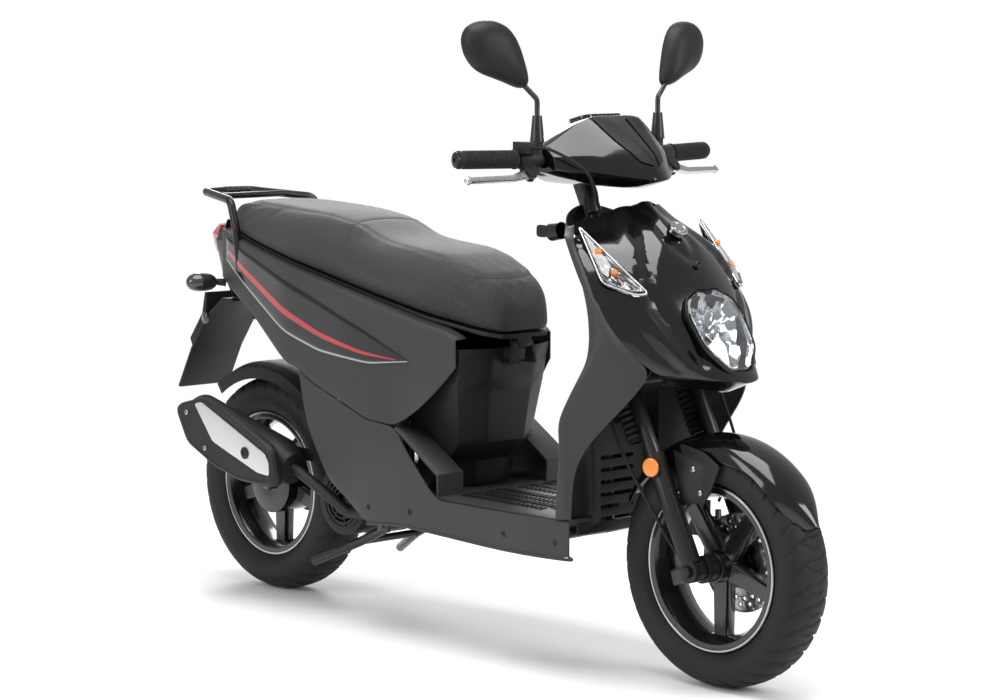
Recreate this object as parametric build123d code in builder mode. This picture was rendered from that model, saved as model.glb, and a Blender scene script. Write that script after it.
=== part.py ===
"""Moped scooter, in millimetres: +X forward, +Y to the rider's left, +Z up.

The origin lies on the ground in the middle of the overall box. Everything at the front is placed
from the front axle, everything at the rear from the rear axle, and the floor spans between them.
"""
import os
from math import cos, radians, sin

from build123d import *

os.makedirs("parts", exist_ok=True)

# ---------------------------------------------------------------- driving dimensions
wheelbase = 1325.0
rear_overhang = 295.6        # rear axle to the rearmost point of the plate carrier
front_tyre_radius = 229.4    # 110/70-12
front_tyre_width = 110.0
rear_tyre_radius = 236.4     # 120/70-12
rear_tyre_width = 120.0
rim_flange_radius = 160.0
bead_seat_radius = 152.4     # 12 inch rim
rake = 26.5                  # degrees from the vertical
axle_offset = 30.8           # the axle lies this far ahead of the steering axis

fork_leg_gap = 11.0          # slider to tyre
slider_radius = 19.5
stanchion_radius = 14.0
fork_travel = 70.0
stem_radius = 12.5
head_tube_radius = 27.0
bearing_radius = 20.0
front_axle_radius = 7.0
rear_axle_radius = 8.0
running_clearance = 0.05
fit_gap = 0.3                # between pieces that only touch
wall = 3.0                   # moulded panels

handlebar_radius = 11.0
grip_radius = 16.5
grip_length = 124.0

leg_shield_half_width = 212.0
floor_half_width = 200.0
floor_height = 300.0         # underside of the floor
floor_thickness = 7.4
seat_half_width = 140.0
rail_spacing = 105.0         # centre plane to each seat rail
rail_radius = 13.0

# ---------------------------------------------------------------- places that follow from them
overall_length = wheelbase + front_tyre_radius + rear_overhang
front_axle_x = overall_length / 2 - front_tyre_radius
rear_axle_x = front_axle_x - wheelbase
front_axle_z = front_tyre_radius
rear_axle_z = rear_tyre_radius
fork_leg_y = front_tyre_width / 2 + fork_leg_gap + slider_radius


def front(dx):
    """X of a point dx ahead of the front axle."""
    return front_axle_x + dx


def rear(dx):
    """X of a point dx ahead of the rear axle."""
    return rear_axle_x + dx


axis_up = Vector(-sin(radians(rake)), 0, cos(radians(rake)))
axis_ahead = Vector(cos(radians(rake)), 0, sin(radians(rake)))
front_axle = Vector(front_axle_x, 0, front_axle_z)
rear_axle = Vector(rear_axle_x, 0, rear_axle_z)
# Plane square to the steering axis, level with the front axle: local x ahead, y left, z up the axis.
steering = Plane(origin=front_axle - axis_ahead * axle_offset, x_dir=axis_ahead, z_dir=axis_up)


def steer_point(ahead, left, up):
    """A point given in the steering frame."""
    return steering.from_local_coords(Vector(ahead, left, up))


shield_levels = [
    # height, half width, rider face, side edge
    (floor_height + floor_thickness + fit_gap, 190.0, front(-347), front(-230)),
    (400.0, 200.0, front(-350), front(-227)),
    (480.0, 215.0, front(-356), front(-220)),
    (570.0, leg_shield_half_width + 13, front(-364), front(-146)),
    (690.0, leg_shield_half_width - 7, front(-388), front(-130)),
    (790.0, leg_shield_half_width - 24, front(-408), front(-186)),
    (850.0, leg_shield_half_width - 52, front(-420), front(-240)),
    (899.0, leg_shield_half_width - 102, front(-434), front(-292)),
]


def shield_at(height):
    """Half width, rider face and side edge of the leg shield at any height."""
    for low, high in zip(shield_levels, shield_levels[1:]):
        if low[0] <= height <= high[0]:
            share = (height - low[0]) / (high[0] - low[0])
            return [a + (b - a) * share for a, b in zip(low[1:], high[1:])]
    return shield_levels[-1][1:]


def save(builder, name):
    builder.part.label = name
    export_step(builder.part, f"parts/{name}.step")


def outline(points, mode=Mode.ADD):
    """A closed straight-sided face in the sketch that is open."""
    Polygon(*points, align=None, mode=mode)


def mirrored(points):
    """A half outline on the side x > 0, given from one end to the other, with its mirror image."""
    return points + [(-x, y) for x, y in reversed(points) if abs(x) > 1e-6]


# ================================================================ wheels
SIDES = (("right", -1), ("left", 1))


def tube(points, radius, bend, mode=Mode.ADD):
    """A round tube along a line with rounded corners, added to or cut from the part that is open."""
    with BuildLine() as run:
        FilletPolyline(*points, radius=bend)
    with BuildSketch(Plane(run.line @ 0, z_dir=run.line % 0)) as section:
        Circle(radius)
    sweep(section.sketch, path=run.line, mode=mode)


def bar(y_low, y_high, x, z, radius, mode=Mode.ADD):
    """A round bar across the scooter, added to or cut from the part that is open."""
    with BuildSketch(across(Vector(x, 0, z), y_low)) as section:
        Circle(radius)
    extrude(section.sketch, amount=y_high - y_low, mode=mode)


def plate(points, y_middle, thickness, mode=Mode.ADD):
    """A flat plate with an outline given in (x, z), added to or cut from the part that is open."""
    with BuildSketch(Plane.XZ.offset(-y_middle)) as section:
        outline(points)
    extrude(section.sketch, amount=thickness / 2, both=True, mode=mode)


def skin(levels, mode=Mode.ADD):
    """A straight-sided body through closed plan outlines at several heights."""
    sections = []
    for height, points in levels:
        with BuildSketch(Plane.XY.offset(height)) as section:
            outline(points)
        sections.append(section.sketch)
    loft(sections, ruled=True, mode=mode)


def section_plane(axle, angle=90.0):
    """Plane of a wheel's cross-section: local x across the wheel, local y out from the axle.

    The angle is that of local y, up from straight ahead. A revolve from here turns forwards.
    """
    return Plane(origin=axle, x_dir=(0, 1, 0), z_dir=(sin(radians(angle)), 0, -cos(radians(angle))))


def across(axle, y=0.0):
    """Plane square to a wheel's axle, y to the left of the middle: local x ahead, local y down."""
    return Plane(origin=axle + Vector(0, y, 0), x_dir=(1, 0, 0), z_dir=(0, 1, 0))


def about(axle):
    return Axis(axle, (0, 1, 0))


def tyre(name, axle, radius, width):
    """A hollow tyre of revolution that sits on the rim's bead seats."""
    bead_half = 37.0
    carcass = 10.0
    section = radius - bead_seat_radius
    with BuildPart() as part:
        with BuildSketch(section_plane(axle)):
            for cut, mode in ((0.0, Mode.ADD), (carcass, Mode.SUBTRACT)):
                half = width / 2 - cut
                foot = bead_half - cut * 0.4
                low = bead_seat_radius + fit_gap + cut * 0.6
                outline(
                    mirrored(
                        [
                            (foot, low),
                            (foot, rim_flange_radius + 1 + cut * 0.4),
                            (half, bead_seat_radius + section * 0.50),
                            (half * 0.90, bead_seat_radius + section * 0.78),
                            (half * 0.50, radius - cut - section * 0.06),
                            (0, radius - cut),
                        ]
                    ),
                    mode,
                )
        revolve(axis=about(axle))
    save(part, name)


def rim(name, axle, axle_radius, hub_radius, hub_half, disc_face=None):
    """A five-spoke cast rim: barrel with flanges, hub with a bore, and five tapered spokes."""
    flange_half = 42.0
    seat_half = 38.0
    well_half = 14.0
    well_depth = 12.0
    barrel = 9.0
    spoke_root, spoke_tip, spoke_thick = 34.0, 27.0, 26.0
    well_radius = bead_seat_radius - well_depth
    with BuildPart() as part:
        with BuildSketch(section_plane(axle)):
            outline(
                [
                    (-flange_half, rim_flange_radius),
                    (-seat_half, rim_flange_radius),
                    (-seat_half, bead_seat_radius),
                    (-well_half, well_radius),
                    (well_half, well_radius),
                    (seat_half, bead_seat_radius),
                    (seat_half, rim_flange_radius),
                    (flange_half, rim_flange_radius),
                    (flange_half, bead_seat_radius - barrel),
                    (well_half, well_radius - barrel),
                    (-well_half, well_radius - barrel),
                    (-flange_half, bead_seat_radius - barrel),
                ]
            )
        revolve(axis=about(axle))
        with BuildSketch(across(axle, -hub_half)):
            Circle(hub_radius)
        extrude(amount=2 * hub_half)
        root = hub_radius - 6
        tip = well_radius - barrel / 2
        with BuildSketch(across(axle, -spoke_thick / 2)):
            with PolarLocations(0, 5, start_angle=90):
                outline(
                    [
                        (root, -spoke_root / 2),
                        (tip, -spoke_tip / 2),
                        (tip, spoke_tip / 2),
                        (root, spoke_root / 2),
                    ]
                )
        extrude(amount=spoke_thick)
        if disc_face:
            with BuildSketch(across(axle, hub_half)):
                Circle(hub_radius + 18)
            extrude(amount=disc_face - hub_half)
        with BuildSketch(across(axle, -hub_half - 1)):
            Circle(axle_radius + running_clearance)
        extrude(amount=2 * hub_half + 40, mode=Mode.SUBTRACT)
    save(part, name)


disc_inner_y = 42.5
disc_thickness = 4.0
disc_radius = 95.0
tyre("front_tyre", front_axle, front_tyre_radius, front_tyre_width)
tyre("rear_tyre", rear_axle, rear_tyre_radius, rear_tyre_width)
front_hub_half = 38.0
hub_play = 0.6
gearbox_radius = 26.0
rim("front_rim", front_axle, front_axle_radius, 30.0, front_hub_half, disc_inner_y)
rim("rear_rim", rear_axle, rear_axle_radius, 66.0, 40.0)

with BuildPart() as brake_disc:
    with BuildSketch(across(front_axle, disc_inner_y)):
        Circle(disc_radius)
        Circle(26, mode=Mode.SUBTRACT)
        with PolarLocations(80, 20):
            Circle(3.5, mode=Mode.SUBTRACT)
        with PolarLocations(68, 20, start_angle=9):
            Circle(3.5, mode=Mode.SUBTRACT)
        with PolarLocations(40, 4):
            Circle(4, mode=Mode.SUBTRACT)
    extrude(amount=disc_thickness)
save(brake_disc, "brake_disc")

# ================================================================ front fork, lower half
slider_low, slider_top = 14.0, 232.0
bore_low = 62.0
lug_radius = 21.0
guard_gap = 33.0
guard_outer = front_tyre_radius + guard_gap
guard_half_width = front_tyre_width / 2 + 7
caliper_outer_y = 62.8
hose_union_y = 54.0
hose_union_z = front_axle_z + 92
with BuildPart() as fork_sliders:
    for name, side in SIDES:
        with BuildSketch(steering.offset(slider_low)):
            with Locations((axle_offset, side * fork_leg_y)):
                Circle(slider_radius)
        extrude(amount=slider_top - slider_low)
        with BuildSketch(across(front_axle, side * fork_leg_y)):
            Circle(lug_radius)
        extrude(amount=slider_radius - 4, both=True)
    # brackets for the mudguard, and for the caliper on the left
    for side in (-1, 1):
        plate(
            [
                (front(-70), front_axle_z + 218),
                (front(8), front_axle_z + 196),
                (front(4), front_axle_z + 126),
                (front(-50), front_axle_z + 116),
            ],
            side * (guard_half_width + fit_gap + wall),
            2 * wall,
        )
    plate(
        [
            (front(-98), front_axle_z + 74),
            (front(-30), front_axle_z + 84),
            (front(-10), front_axle_z + 20),
            (front(-60), front_axle_z + 12),
        ],
        caliper_outer_y + fit_gap + wall,
        2 * wall,
    )
    for side in (-1, 1):
        with BuildSketch(steering.offset(bore_low)):
            with Locations((axle_offset, side * fork_leg_y)):
                Circle(stanchion_radius + running_clearance)
        extrude(amount=slider_top - bore_low + 1, mode=Mode.SUBTRACT)
    bar(
        -fork_leg_y - slider_radius - 5,
        fork_leg_y + slider_radius + 5,
        front_axle_x,
        front_axle_z,
        front_axle_radius + running_clearance,
        Mode.SUBTRACT,
    )

axle_half = fork_leg_y + slider_radius - 4
with BuildPart() as axle_front:
    with BuildSketch(across(front_axle, -axle_half)):
        Circle(front_axle_radius)
    extrude(amount=2 * axle_half)
    for side in (-1, 1):
        with BuildSketch(across(front_axle, side * (axle_half + fit_gap))):
            RegularPolygon(11, 6)
        extrude(amount=side * 8)
        with BuildSketch(across(front_axle, side * axle_half)):
            Circle(front_axle_radius)
        extrude(amount=side * 1)
    # speedometer drive on the right, plain spacer on the left
    slider_face = fork_leg_y - slider_radius - fit_gap
    for start, end, radius in (
        (-slider_face, -front_hub_half - hub_play, gearbox_radius),
        (disc_inner_y + disc_thickness + hub_play, slider_face, 12.0),
    ):
        with BuildSketch(across(front_axle, start)):
            Circle(radius)
        extrude(amount=end - start)

with BuildPart() as fork_lower:
    add(fork_sliders.part)
    add(axle_front.part)
save(fork_lower, "fork_sliders")

with BuildPart() as brake_caliper:
    with BuildSketch(across(front_axle, disc_inner_y - 14)):
        with Locations((-66, -46)):
            RectangleRounded(58, 46, 10, rotation=35)
    extrude(amount=caliper_outer_y - disc_inner_y + 14)
    with BuildSketch(across(front_axle, disc_inner_y - 2)):
        Circle(disc_radius + 4)
    extrude(amount=disc_thickness + 4, mode=Mode.SUBTRACT)
    with BuildSketch(across(front_axle, disc_inner_y - 15)):
        Circle(61)
    extrude(amount=15, mode=Mode.SUBTRACT)
    # union for the hose
    with BuildSketch(Plane.XY.offset(front_axle_z + 60)):
        with Locations((front(-68), hose_union_y)):
            Circle(6)
    extrude(amount=hose_union_z - front_axle_z - 60)
save(brake_caliper, "brake_caliper")

# front mudguard: a hooped shell over the tyre with a bracket down each side
guard_back, guard_sweep = 150.0, 107.0   # degrees above straight ahead
with BuildPart() as front_fender:
    with BuildSketch(section_plane(front_axle, guard_back)):
        for cut, mode in ((0.0, Mode.ADD), (wall, Mode.SUBTRACT)):
            outline(
                mirrored(
                    [
                        (guard_half_width - cut, guard_outer - 40 - cut),
                        (guard_half_width - cut, guard_outer - 15),
                        (guard_half_width * 0.55 - cut / 2, guard_outer - cut),
                    ]
                ),
                mode,
            )
    revolve(axis=about(front_axle), revolution_arc=guard_sweep)
    for side in (-1, 1):
        plate(
            [
                (front(-62), front_axle_z + guard_outer - 52),
                (front(20), front_axle_z + guard_outer - 22),
                (front(48), front_axle_z + guard_outer - 38),
                (front(18), front_axle_z + 118),
                (front(-14), front_axle_z + 112),
            ],
            side * (guard_half_width - wall / 2),
            wall,
        )
save(front_fender, "front_fender")

# ================================================================ fork upper half and steering stem
crown_low, crown_top = 372.0, 396.0
stem_top = 792.0
stanchion_low = bore_low + fork_travel + 8
with BuildPart() as stem:
    with BuildSketch(steering.offset(crown_low)):
        Circle(30)
        with Locations((axle_offset, fork_leg_y), (axle_offset, -fork_leg_y)):
            Circle(24)
        with Locations((axle_offset / 2, 0)):
            Rectangle(36, 2 * fork_leg_y)
    extrude(amount=crown_top - crown_low)
    with BuildSketch(steering.offset(crown_low)):
        Circle(stem_radius)
    extrude(amount=stem_top - crown_low)
    with BuildSketch(steering.offset(crown_low - 1)):
        with Locations((axle_offset, fork_leg_y), (axle_offset, -fork_leg_y)):
            Circle(stanchion_radius + running_clearance)
    extrude(amount=crown_top - crown_low + 2, mode=Mode.SUBTRACT)

with BuildPart() as stanchions:
    with BuildSketch(steering.offset(stanchion_low)):
        with Locations((axle_offset, fork_leg_y), (axle_offset, -fork_leg_y)):
            Circle(stanchion_radius)
    extrude(amount=crown_top - stanchion_low)

with BuildPart() as fork_upper:
    add(stem.part)
    add(stanchions.part)
save(fork_upper, "steering_stem")

bellows_low, bellows_top = slider_top + 1, crown_low - 1
bellows_folds = 9
bellows_outer, bellows_root = 22.0, 18.0
with BuildPart() as bellows:
    pitch = (bellows_top - bellows_low) / bellows_folds
    for side in (-1, 1):
        foot = steer_point(axle_offset, side * fork_leg_y, 0)
        with BuildSketch(Plane(foot, x_dir=axis_ahead, z_dir=(0, -1, 0))):
            points = [(stanchion_radius + 1, bellows_low), (bellows_root, bellows_low)]
            for fold in range(bellows_folds):
                low = bellows_low + fold * pitch
                points += [(bellows_outer, low + pitch / 2), (bellows_root, low + pitch)]
            outline(points + [(stanchion_radius + 1, bellows_top)])
        revolve(axis=Axis(foot, axis_up))
save(bellows, "fork_bellows")

# ================================================================ handlebar and controls
bar_knee_inner = [steer_point(14, side * 50, 815) for side in (-1, 1)]
bar_knee = {side: steer_point(63, side * 150, 828.5) for side in (-1, 1)}
bar_end = {side: steer_point(31, side * 335, 847) for side in (-1, 1)}
bar_run = {side: (bar_end[side] - bar_knee[side]).normalized() for side in (-1, 1)}
bar_length = (bar_end[1] - bar_knee[1]).length
grip_start = bar_length - grip_length
clamp_low, clamp_radius = 735.0, 19.0
post_top = stem_top + 24
bar_stop = 3.0               # the grip's closed end is this far beyond the tube
with BuildPart() as handlebar:
    with BuildLine() as bar_line:
        FilletPolyline(
            bar_knee[-1] + bar_run[-1] * (bar_length - bar_stop),
            bar_knee[-1],
            bar_knee_inner[0],
            bar_knee_inner[1],
            bar_knee[1],
            bar_knee[1] + bar_run[1] * (bar_length - bar_stop),
            radius=30,
        )
    with BuildSketch(Plane(bar_line.line @ 0, z_dir=bar_line.line % 0)):
        Circle(handlebar_radius)
    sweep()
    with BuildSketch(steering.offset(clamp_low)):
        Circle(clamp_radius)
    extrude(amount=post_top - clamp_low)
    with BuildSketch(steering.offset(clamp_low - 1)):
        Circle(stem_radius + running_clearance)
    extrude(amount=stem_top - clamp_low + 1.5, mode=Mode.SUBTRACT)
save(handlebar, "handlebar")


def bar_plane(side, along):
    """Plane square to one end of the bar: z outboard along the bar, x ahead."""
    return Plane(bar_knee[side] + bar_run[side] * along, x_dir=axis_ahead, z_dir=bar_run[side])


for name, side in (("throttle_grip", -1), ("left_grip", 1)):
    with BuildPart() as grip:
        with BuildSketch(bar_plane(side, grip_start)):
            Circle(grip_radius)
        extrude(amount=grip_length)
        with BuildSketch(bar_plane(side, grip_start)):
            Circle(grip_radius + 3)
        extrude(amount=4)
        with BuildSketch(bar_plane(side, grip_start - 1)):
            Circle(handlebar_radius + running_clearance)
        extrude(amount=grip_length + 1 - bar_stop + 1, mode=Mode.SUBTRACT)
    save(grip, name)

# brake lever perches: a clamp ring on the bar, a fork that holds the lever, a mirror boss
lever_drop = 50.0            # degrees below the horizontal
lever_reach = Vector(cos(radians(lever_drop)), 0, -sin(radians(lever_drop)))
perch_start, perch_length = 9.0, 48.0
pivot_along, pivot_out = 40.0, 36.0
lever_thickness = 9.0
pin_radius = 3.0
mirror_x = bar_knee[1].X
mirror_y = 164.0
mirror_boss_radius = 11.0
mirror_foot_z = 1016.0
lever_frames = {}
for name, side in SIDES:
    run = bar_run[side]
    reach = (lever_reach - run * lever_reach.dot(run)).normalized()
    hinge = run.cross(reach).normalized()
    lever_frames[side] = Plane(bar_knee[side], x_dir=run, z_dir=hinge)

perches = []
for side in (-1, 1):
    lever_frame = lever_frames[side]
    toward = 1 if lever_frame.y_dir.dot(lever_reach) > 0 else -1
    with BuildPart() as perch:
        with BuildSketch(bar_plane(side, perch_start)):
            Circle(18)
        extrude(amount=perch_length)
        with BuildSketch(lever_frame.offset(-lever_thickness / 2 - 5)):
            with Locations((pivot_along, toward * pivot_out / 2)):
                Rectangle(28, pivot_out)
            with Locations((pivot_along, toward * pivot_out)):
                Circle(11)
        extrude(amount=lever_thickness + 10)
        with BuildSketch(Plane.XY.offset(bar_knee[side].Z + 8)):
            with Locations((mirror_x, side * mirror_y)):
                Circle(mirror_boss_radius)
        extrude(amount=mirror_foot_z - bar_knee[side].Z - 8)
        if side == -1:
            with BuildSketch(Plane.XY.offset(bar_knee[side].Z + 12)):
                with Locations((bar_knee[side].X + 2, bar_knee[side].Y + side * 47)):
                    RectangleRounded(44, 30, 6)
            extrude(amount=22)
        # slot for the lever
        with BuildSketch(lever_frame.offset(-lever_thickness / 2 - fit_gap)):
            with Locations((pivot_along + 10, toward * (pivot_out + 3))):
                Rectangle(60, 34)
        extrude(amount=lever_thickness + 2 * fit_gap, mode=Mode.SUBTRACT)
        # pin
        with BuildSketch(lever_frame.offset(-lever_thickness / 2 - 4)):
            with Locations((pivot_along, toward * pivot_out)):
                Circle(pin_radius)
        extrude(amount=lever_thickness + 8)
        with BuildSketch(bar_plane(side, perch_start - 1)):
            Circle(handlebar_radius + running_clearance)
        extrude(amount=perch_length + 2, mode=Mode.SUBTRACT)
        with BuildSketch(bar_plane(side, -24)):
            Circle(handlebar_radius + 1)
        extrude(amount=24 + perch_start, mode=Mode.SUBTRACT)
    perches.append(perch.part)

with BuildPart() as lever_perches:
    add(perches)
save(lever_perches, "lever_perches")

for name, side in (("brake_lever_right", -1), ("brake_lever_left", 1)):
    lever_frame = lever_frames[side]
    toward = 1 if lever_frame.y_dir.dot(lever_reach) > 0 else -1
    with BuildPart() as lever:
        with BuildSketch(lever_frame.offset(-lever_thickness / 2)):
            outline(
                [
                    (pivot_along - 9, toward * (pivot_out - 7)),
                    (pivot_along + 16, toward * (pivot_out - 8)),
                    (pivot_along + 45, toward * (pivot_out + 4)),
                    (pivot_along + 138, toward * (pivot_out + 8)),
                    (pivot_along + 138, toward * (pivot_out + 17)),
                    (pivot_along + 40, toward * (pivot_out + 15)),
                    (pivot_along + 10, toward * (pivot_out + 9)),
                    (pivot_along - 9, toward * (pivot_out + 8)),
                ]
            )
            with Locations((pivot_along + 142, toward * (pivot_out + 12.5))):
                Circle(7)
            with Locations((pivot_along, toward * pivot_out)):
                Circle(pin_radius + running_clearance, mode=Mode.SUBTRACT)
        extrude(amount=lever_thickness)
    save(lever, name)

# mirrors: a bent stem that turns in a boot, and a shell with its glass on a ball at the stem's end
mirror_head_y = 262.0
mirror_head_z = 1190.0
mirror_yaw = 14.0
mirror_stem_radius = 5.0
mirror_bend = 82.0
mirror_stem_reach = 48.0
mirror_heads = {}
for name, side in SIDES:
    foot = Vector(mirror_x, side * mirror_y, mirror_foot_z + fit_gap)
    bend = foot + Vector(0, 0, mirror_bend)
    head = Vector(mirror_x - 22, side * mirror_head_y, mirror_head_z)
    up_out = (head - bend).normalized()
    ball = bend + up_out * mirror_stem_reach
    mirror_heads[side] = (head, up_out, ball)
    with BuildPart() as mirror_stem:
        with BuildLine() as stem_line:
            FilletPolyline(foot + Vector(0, 0, 40), bend, ball, radius=16)
        with BuildSketch(Plane(stem_line.line @ 0, z_dir=stem_line.line % 0)):
            Circle(mirror_stem_radius)
        sweep()
        with Locations(Location(foot)):
            Cone(14, 9, 52, align=(Align.CENTER, Align.CENTER, Align.MIN))
    save(mirror_stem, f"mirror_stem_{name}")
    face = Vector(cos(radians(mirror_yaw)), side * sin(radians(mirror_yaw)), 0)
    face = (face - up_out * face.dot(up_out)).normalized()
    head_plane = Plane(head, x_dir=up_out, z_dir=face)
    tip = (head - ball).length + 2
    with BuildPart() as mirror_head:
        with BuildSketch(head_plane.offset(-14)):
            with Locations((8, 0)):
                Ellipse(62, 45)
            outline([(-tip, -9), (-34, -36), (-34, 36), (-tip, 9)])
        extrude(amount=26)
        with BuildSketch(head_plane.offset(-15)):
            with Locations((8, 0)):
                Ellipse(57, 40)
        extrude(amount=4, mode=Mode.SUBTRACT)
        with BuildSketch(Plane(ball - up_out * 12, x_dir=face, z_dir=up_out)):
            Circle(mirror_stem_radius + 1.2)
        extrude(amount=12.4, mode=Mode.SUBTRACT)
    save(mirror_head, f"mirror_head_{name}")

# ================================================================ frame
head_low, head_high = 400.0, 592.0
bearing_height = 15.0
bearing_gap = 0.6
down_tube_radius = 20.0
rail_z = 262.0
rail_front_x = front(-322)
rail_rise_x = rear(405)
pivot_x, pivot_z = rear(365), rear_axle_z + 110
pivot_radius = 6.0
shock_y = 95.0
shock_top = Vector(rear(62), shock_y, rear_axle_z + 372)
shock_foot = Vector(rear(-22), shock_y, rear_axle_z + 96)
shock_pin_radius = 5.0
open_pivot_gap = 2.0         # the lower eye is left loose on its pin
stand_x, stand_z = rear(462), 209.0
stand_pin_radius = 6.0
stand_half = 78.0
hoop_x, hoop_radius = rear(545), 10.0
bucket_floor = 466.0


tail_rail = [
    Vector(rail_rise_x, rail_spacing, rail_z),
    Vector(rear(300), rail_spacing, rear_axle_z + 205),
    Vector(rear(215), rail_spacing, rear_axle_z + 375),
    Vector(rear(-40), rail_spacing - 22, rear_axle_z + 462),
    Vector(rear(-95), rail_spacing - 45, rear_axle_z + 468),
]


def rail_at(x):
    """A point on the centre line of the left tail rail."""
    for a, b in zip(tail_rail, tail_rail[1:]):
        if b.X <= x <= a.X:
            return a + (b - a) * ((x - a.X) / (b.X - a.X))
    return tail_rail[-1]


shield_boss_z = 560.0
down_tube_high = Vector(front(-335), 0, 548)
down_tube_low = Vector(front(-318), 0, 330)


def down_tube_front(z):
    """X of the front of the down tube's straight middle at a height."""
    share = (down_tube_high.Z - z) / (down_tube_high.Z - down_tube_low.Z)
    return down_tube_high.X + (down_tube_low.X - down_tube_high.X) * share + down_tube_radius


with BuildPart() as frame:
    with BuildSketch(steering.offset(head_low)):
        Circle(head_tube_radius)
    extrude(amount=head_high - head_low)
    tube(
        [
            steer_point(-18, 0, (head_low + head_high) / 2),
            down_tube_high,
            down_tube_low,
            Vector(rail_front_x, 0, rail_z),
        ],
        down_tube_radius,
        30,
    )
    for side in (-1, 1):
        tube(
            [Vector(rail_front_x, 0, rail_z), Vector(rail_front_x - 10, side * rail_spacing, rail_z)]
            + [Vector(p.X, side * p.Y, p.Z) for p in tail_rail],
            rail_radius,
            25,
        )
    bar(-rail_spacing, rail_spacing, rear(300), rear_axle_z + 205, rail_radius)
    bar(-rail_spacing + 30, rail_spacing - 30, rear(-70), rear_axle_z + 464, 10)
    bar(-rail_spacing, rail_spacing, hoop_x, rail_z, rail_radius)
    # pads under the floor
    with BuildSketch(Plane.XY.offset(rail_z)):
        for pad_x in (front(-400), front(-560)):
            with Locations((pad_x, rail_spacing), (pad_x, -rail_spacing)):
                Circle(10)
    extrude(amount=floor_height - fit_gap - rail_z)
    # boss that holds the leg shield
    with BuildSketch(Plane.YZ.offset(shield_at(shield_boss_z)[1] + wall + 1)):
        with Locations((0, shield_boss_z)):
            Circle(9)
    extrude(amount=24)
    # hoop that carries the storage bucket
    tube(
        [
            Vector(hoop_x, -rail_spacing, rail_z),
            Vector(hoop_x, -rail_spacing, bucket_floor - fit_gap - hoop_radius),
            Vector(hoop_x, rail_spacing, bucket_floor - fit_gap - hoop_radius),
            Vector(hoop_x, rail_spacing, rail_z),
        ],
        hoop_radius,
        30,
    )
    # engine hanger
    for side in (-1, 1):
        plate(
            [
                (pivot_x + 22, pivot_z - 16),
                (pivot_x + 16, rear_axle_z + 215),
                (rear(290), rear_axle_z + 215),
                (pivot_x - 18, pivot_z - 16),
            ],
            side * 32,
            6,
        )
    bar(-38, 38, pivot_x, pivot_z, pivot_radius)
    # upper shock mount
    plate(
        [
            (shock_top.X - 16, shock_top.Z - 14),
            (shock_top.X + 16, shock_top.Z - 14),
            (shock_top.X + 30, rail_at(shock_top.X + 30).Z),
            (shock_top.X - 30, rail_at(shock_top.X - 30).Z),
        ],
        shock_y - 19.5,
        5,
    )
    bar(shock_y - 22, shock_y + 15, shock_top.X, shock_top.Z, shock_pin_radius)
    # stand brackets
    for side in (-1, 1):
        plate(
            [
                (stand_x - 16, stand_z - 14),
                (stand_x + 16, stand_z - 14),
                (stand_x + 26, rail_z),
                (stand_x - 12, rail_z),
            ],
            side * rail_spacing,
            8,
        )
    bar(-rail_spacing - 8, rail_spacing + 8, stand_x, stand_z, stand_pin_radius)
    # bearing seats and clearance for the stem
    with BuildSketch(steering.offset(head_low - 1)):
        Circle(stem_radius + 4)
    extrude(amount=head_high - head_low + 2, mode=Mode.SUBTRACT)
    for low in (head_low - 1, head_high - bearing_height):
        with BuildSketch(steering.offset(low)):
            Circle(bearing_radius + running_clearance)
        extrude(amount=bearing_height + 1, mode=Mode.SUBTRACT)

with BuildPart() as bearings:
    for low in (head_low - fit_gap, head_high - bearing_height + fit_gap):
        with BuildSketch(steering.offset(low)):
            Circle(bearing_radius)
            Circle(stem_radius + running_clearance, mode=Mode.SUBTRACT)
        extrude(amount=bearing_height)

with BuildPart() as frame_and_bearings:
    add(frame.part)
    add(bearings.part)
save(frame_and_bearings, "frame")

# ================================================================ centre stand
stand_leg = 235.0
stand_fold = 26.0            # degrees below the horizontal when folded
stand_foot = Vector(
    stand_x - stand_leg * cos(radians(stand_fold)), 0, stand_z - stand_leg * sin(radians(stand_fold))
)
with BuildPart() as centre_stand:
    bar(-rail_spacing + 6, rail_spacing - 6, stand_x, stand_z, 13)
    for side in (-1, 1):
        tube(
            [
                Vector(stand_x, side * (stand_half - 6), stand_z),
                Vector((stand_x + stand_foot.X) / 2, side * stand_half, (stand_z + stand_foot.Z) / 2),
                Vector(stand_foot.X, side * (stand_half + 44), stand_foot.Z),
            ],
            10,
            30,
        )
    bar(-stand_half, stand_half, (stand_x + stand_foot.X) / 2, (stand_z + stand_foot.Z) / 2, 8)
    bar(-rail_spacing, rail_spacing, stand_x, stand_z, stand_pin_radius + running_clearance, Mode.SUBTRACT)
save(centre_stand, "centre_stand")

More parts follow.
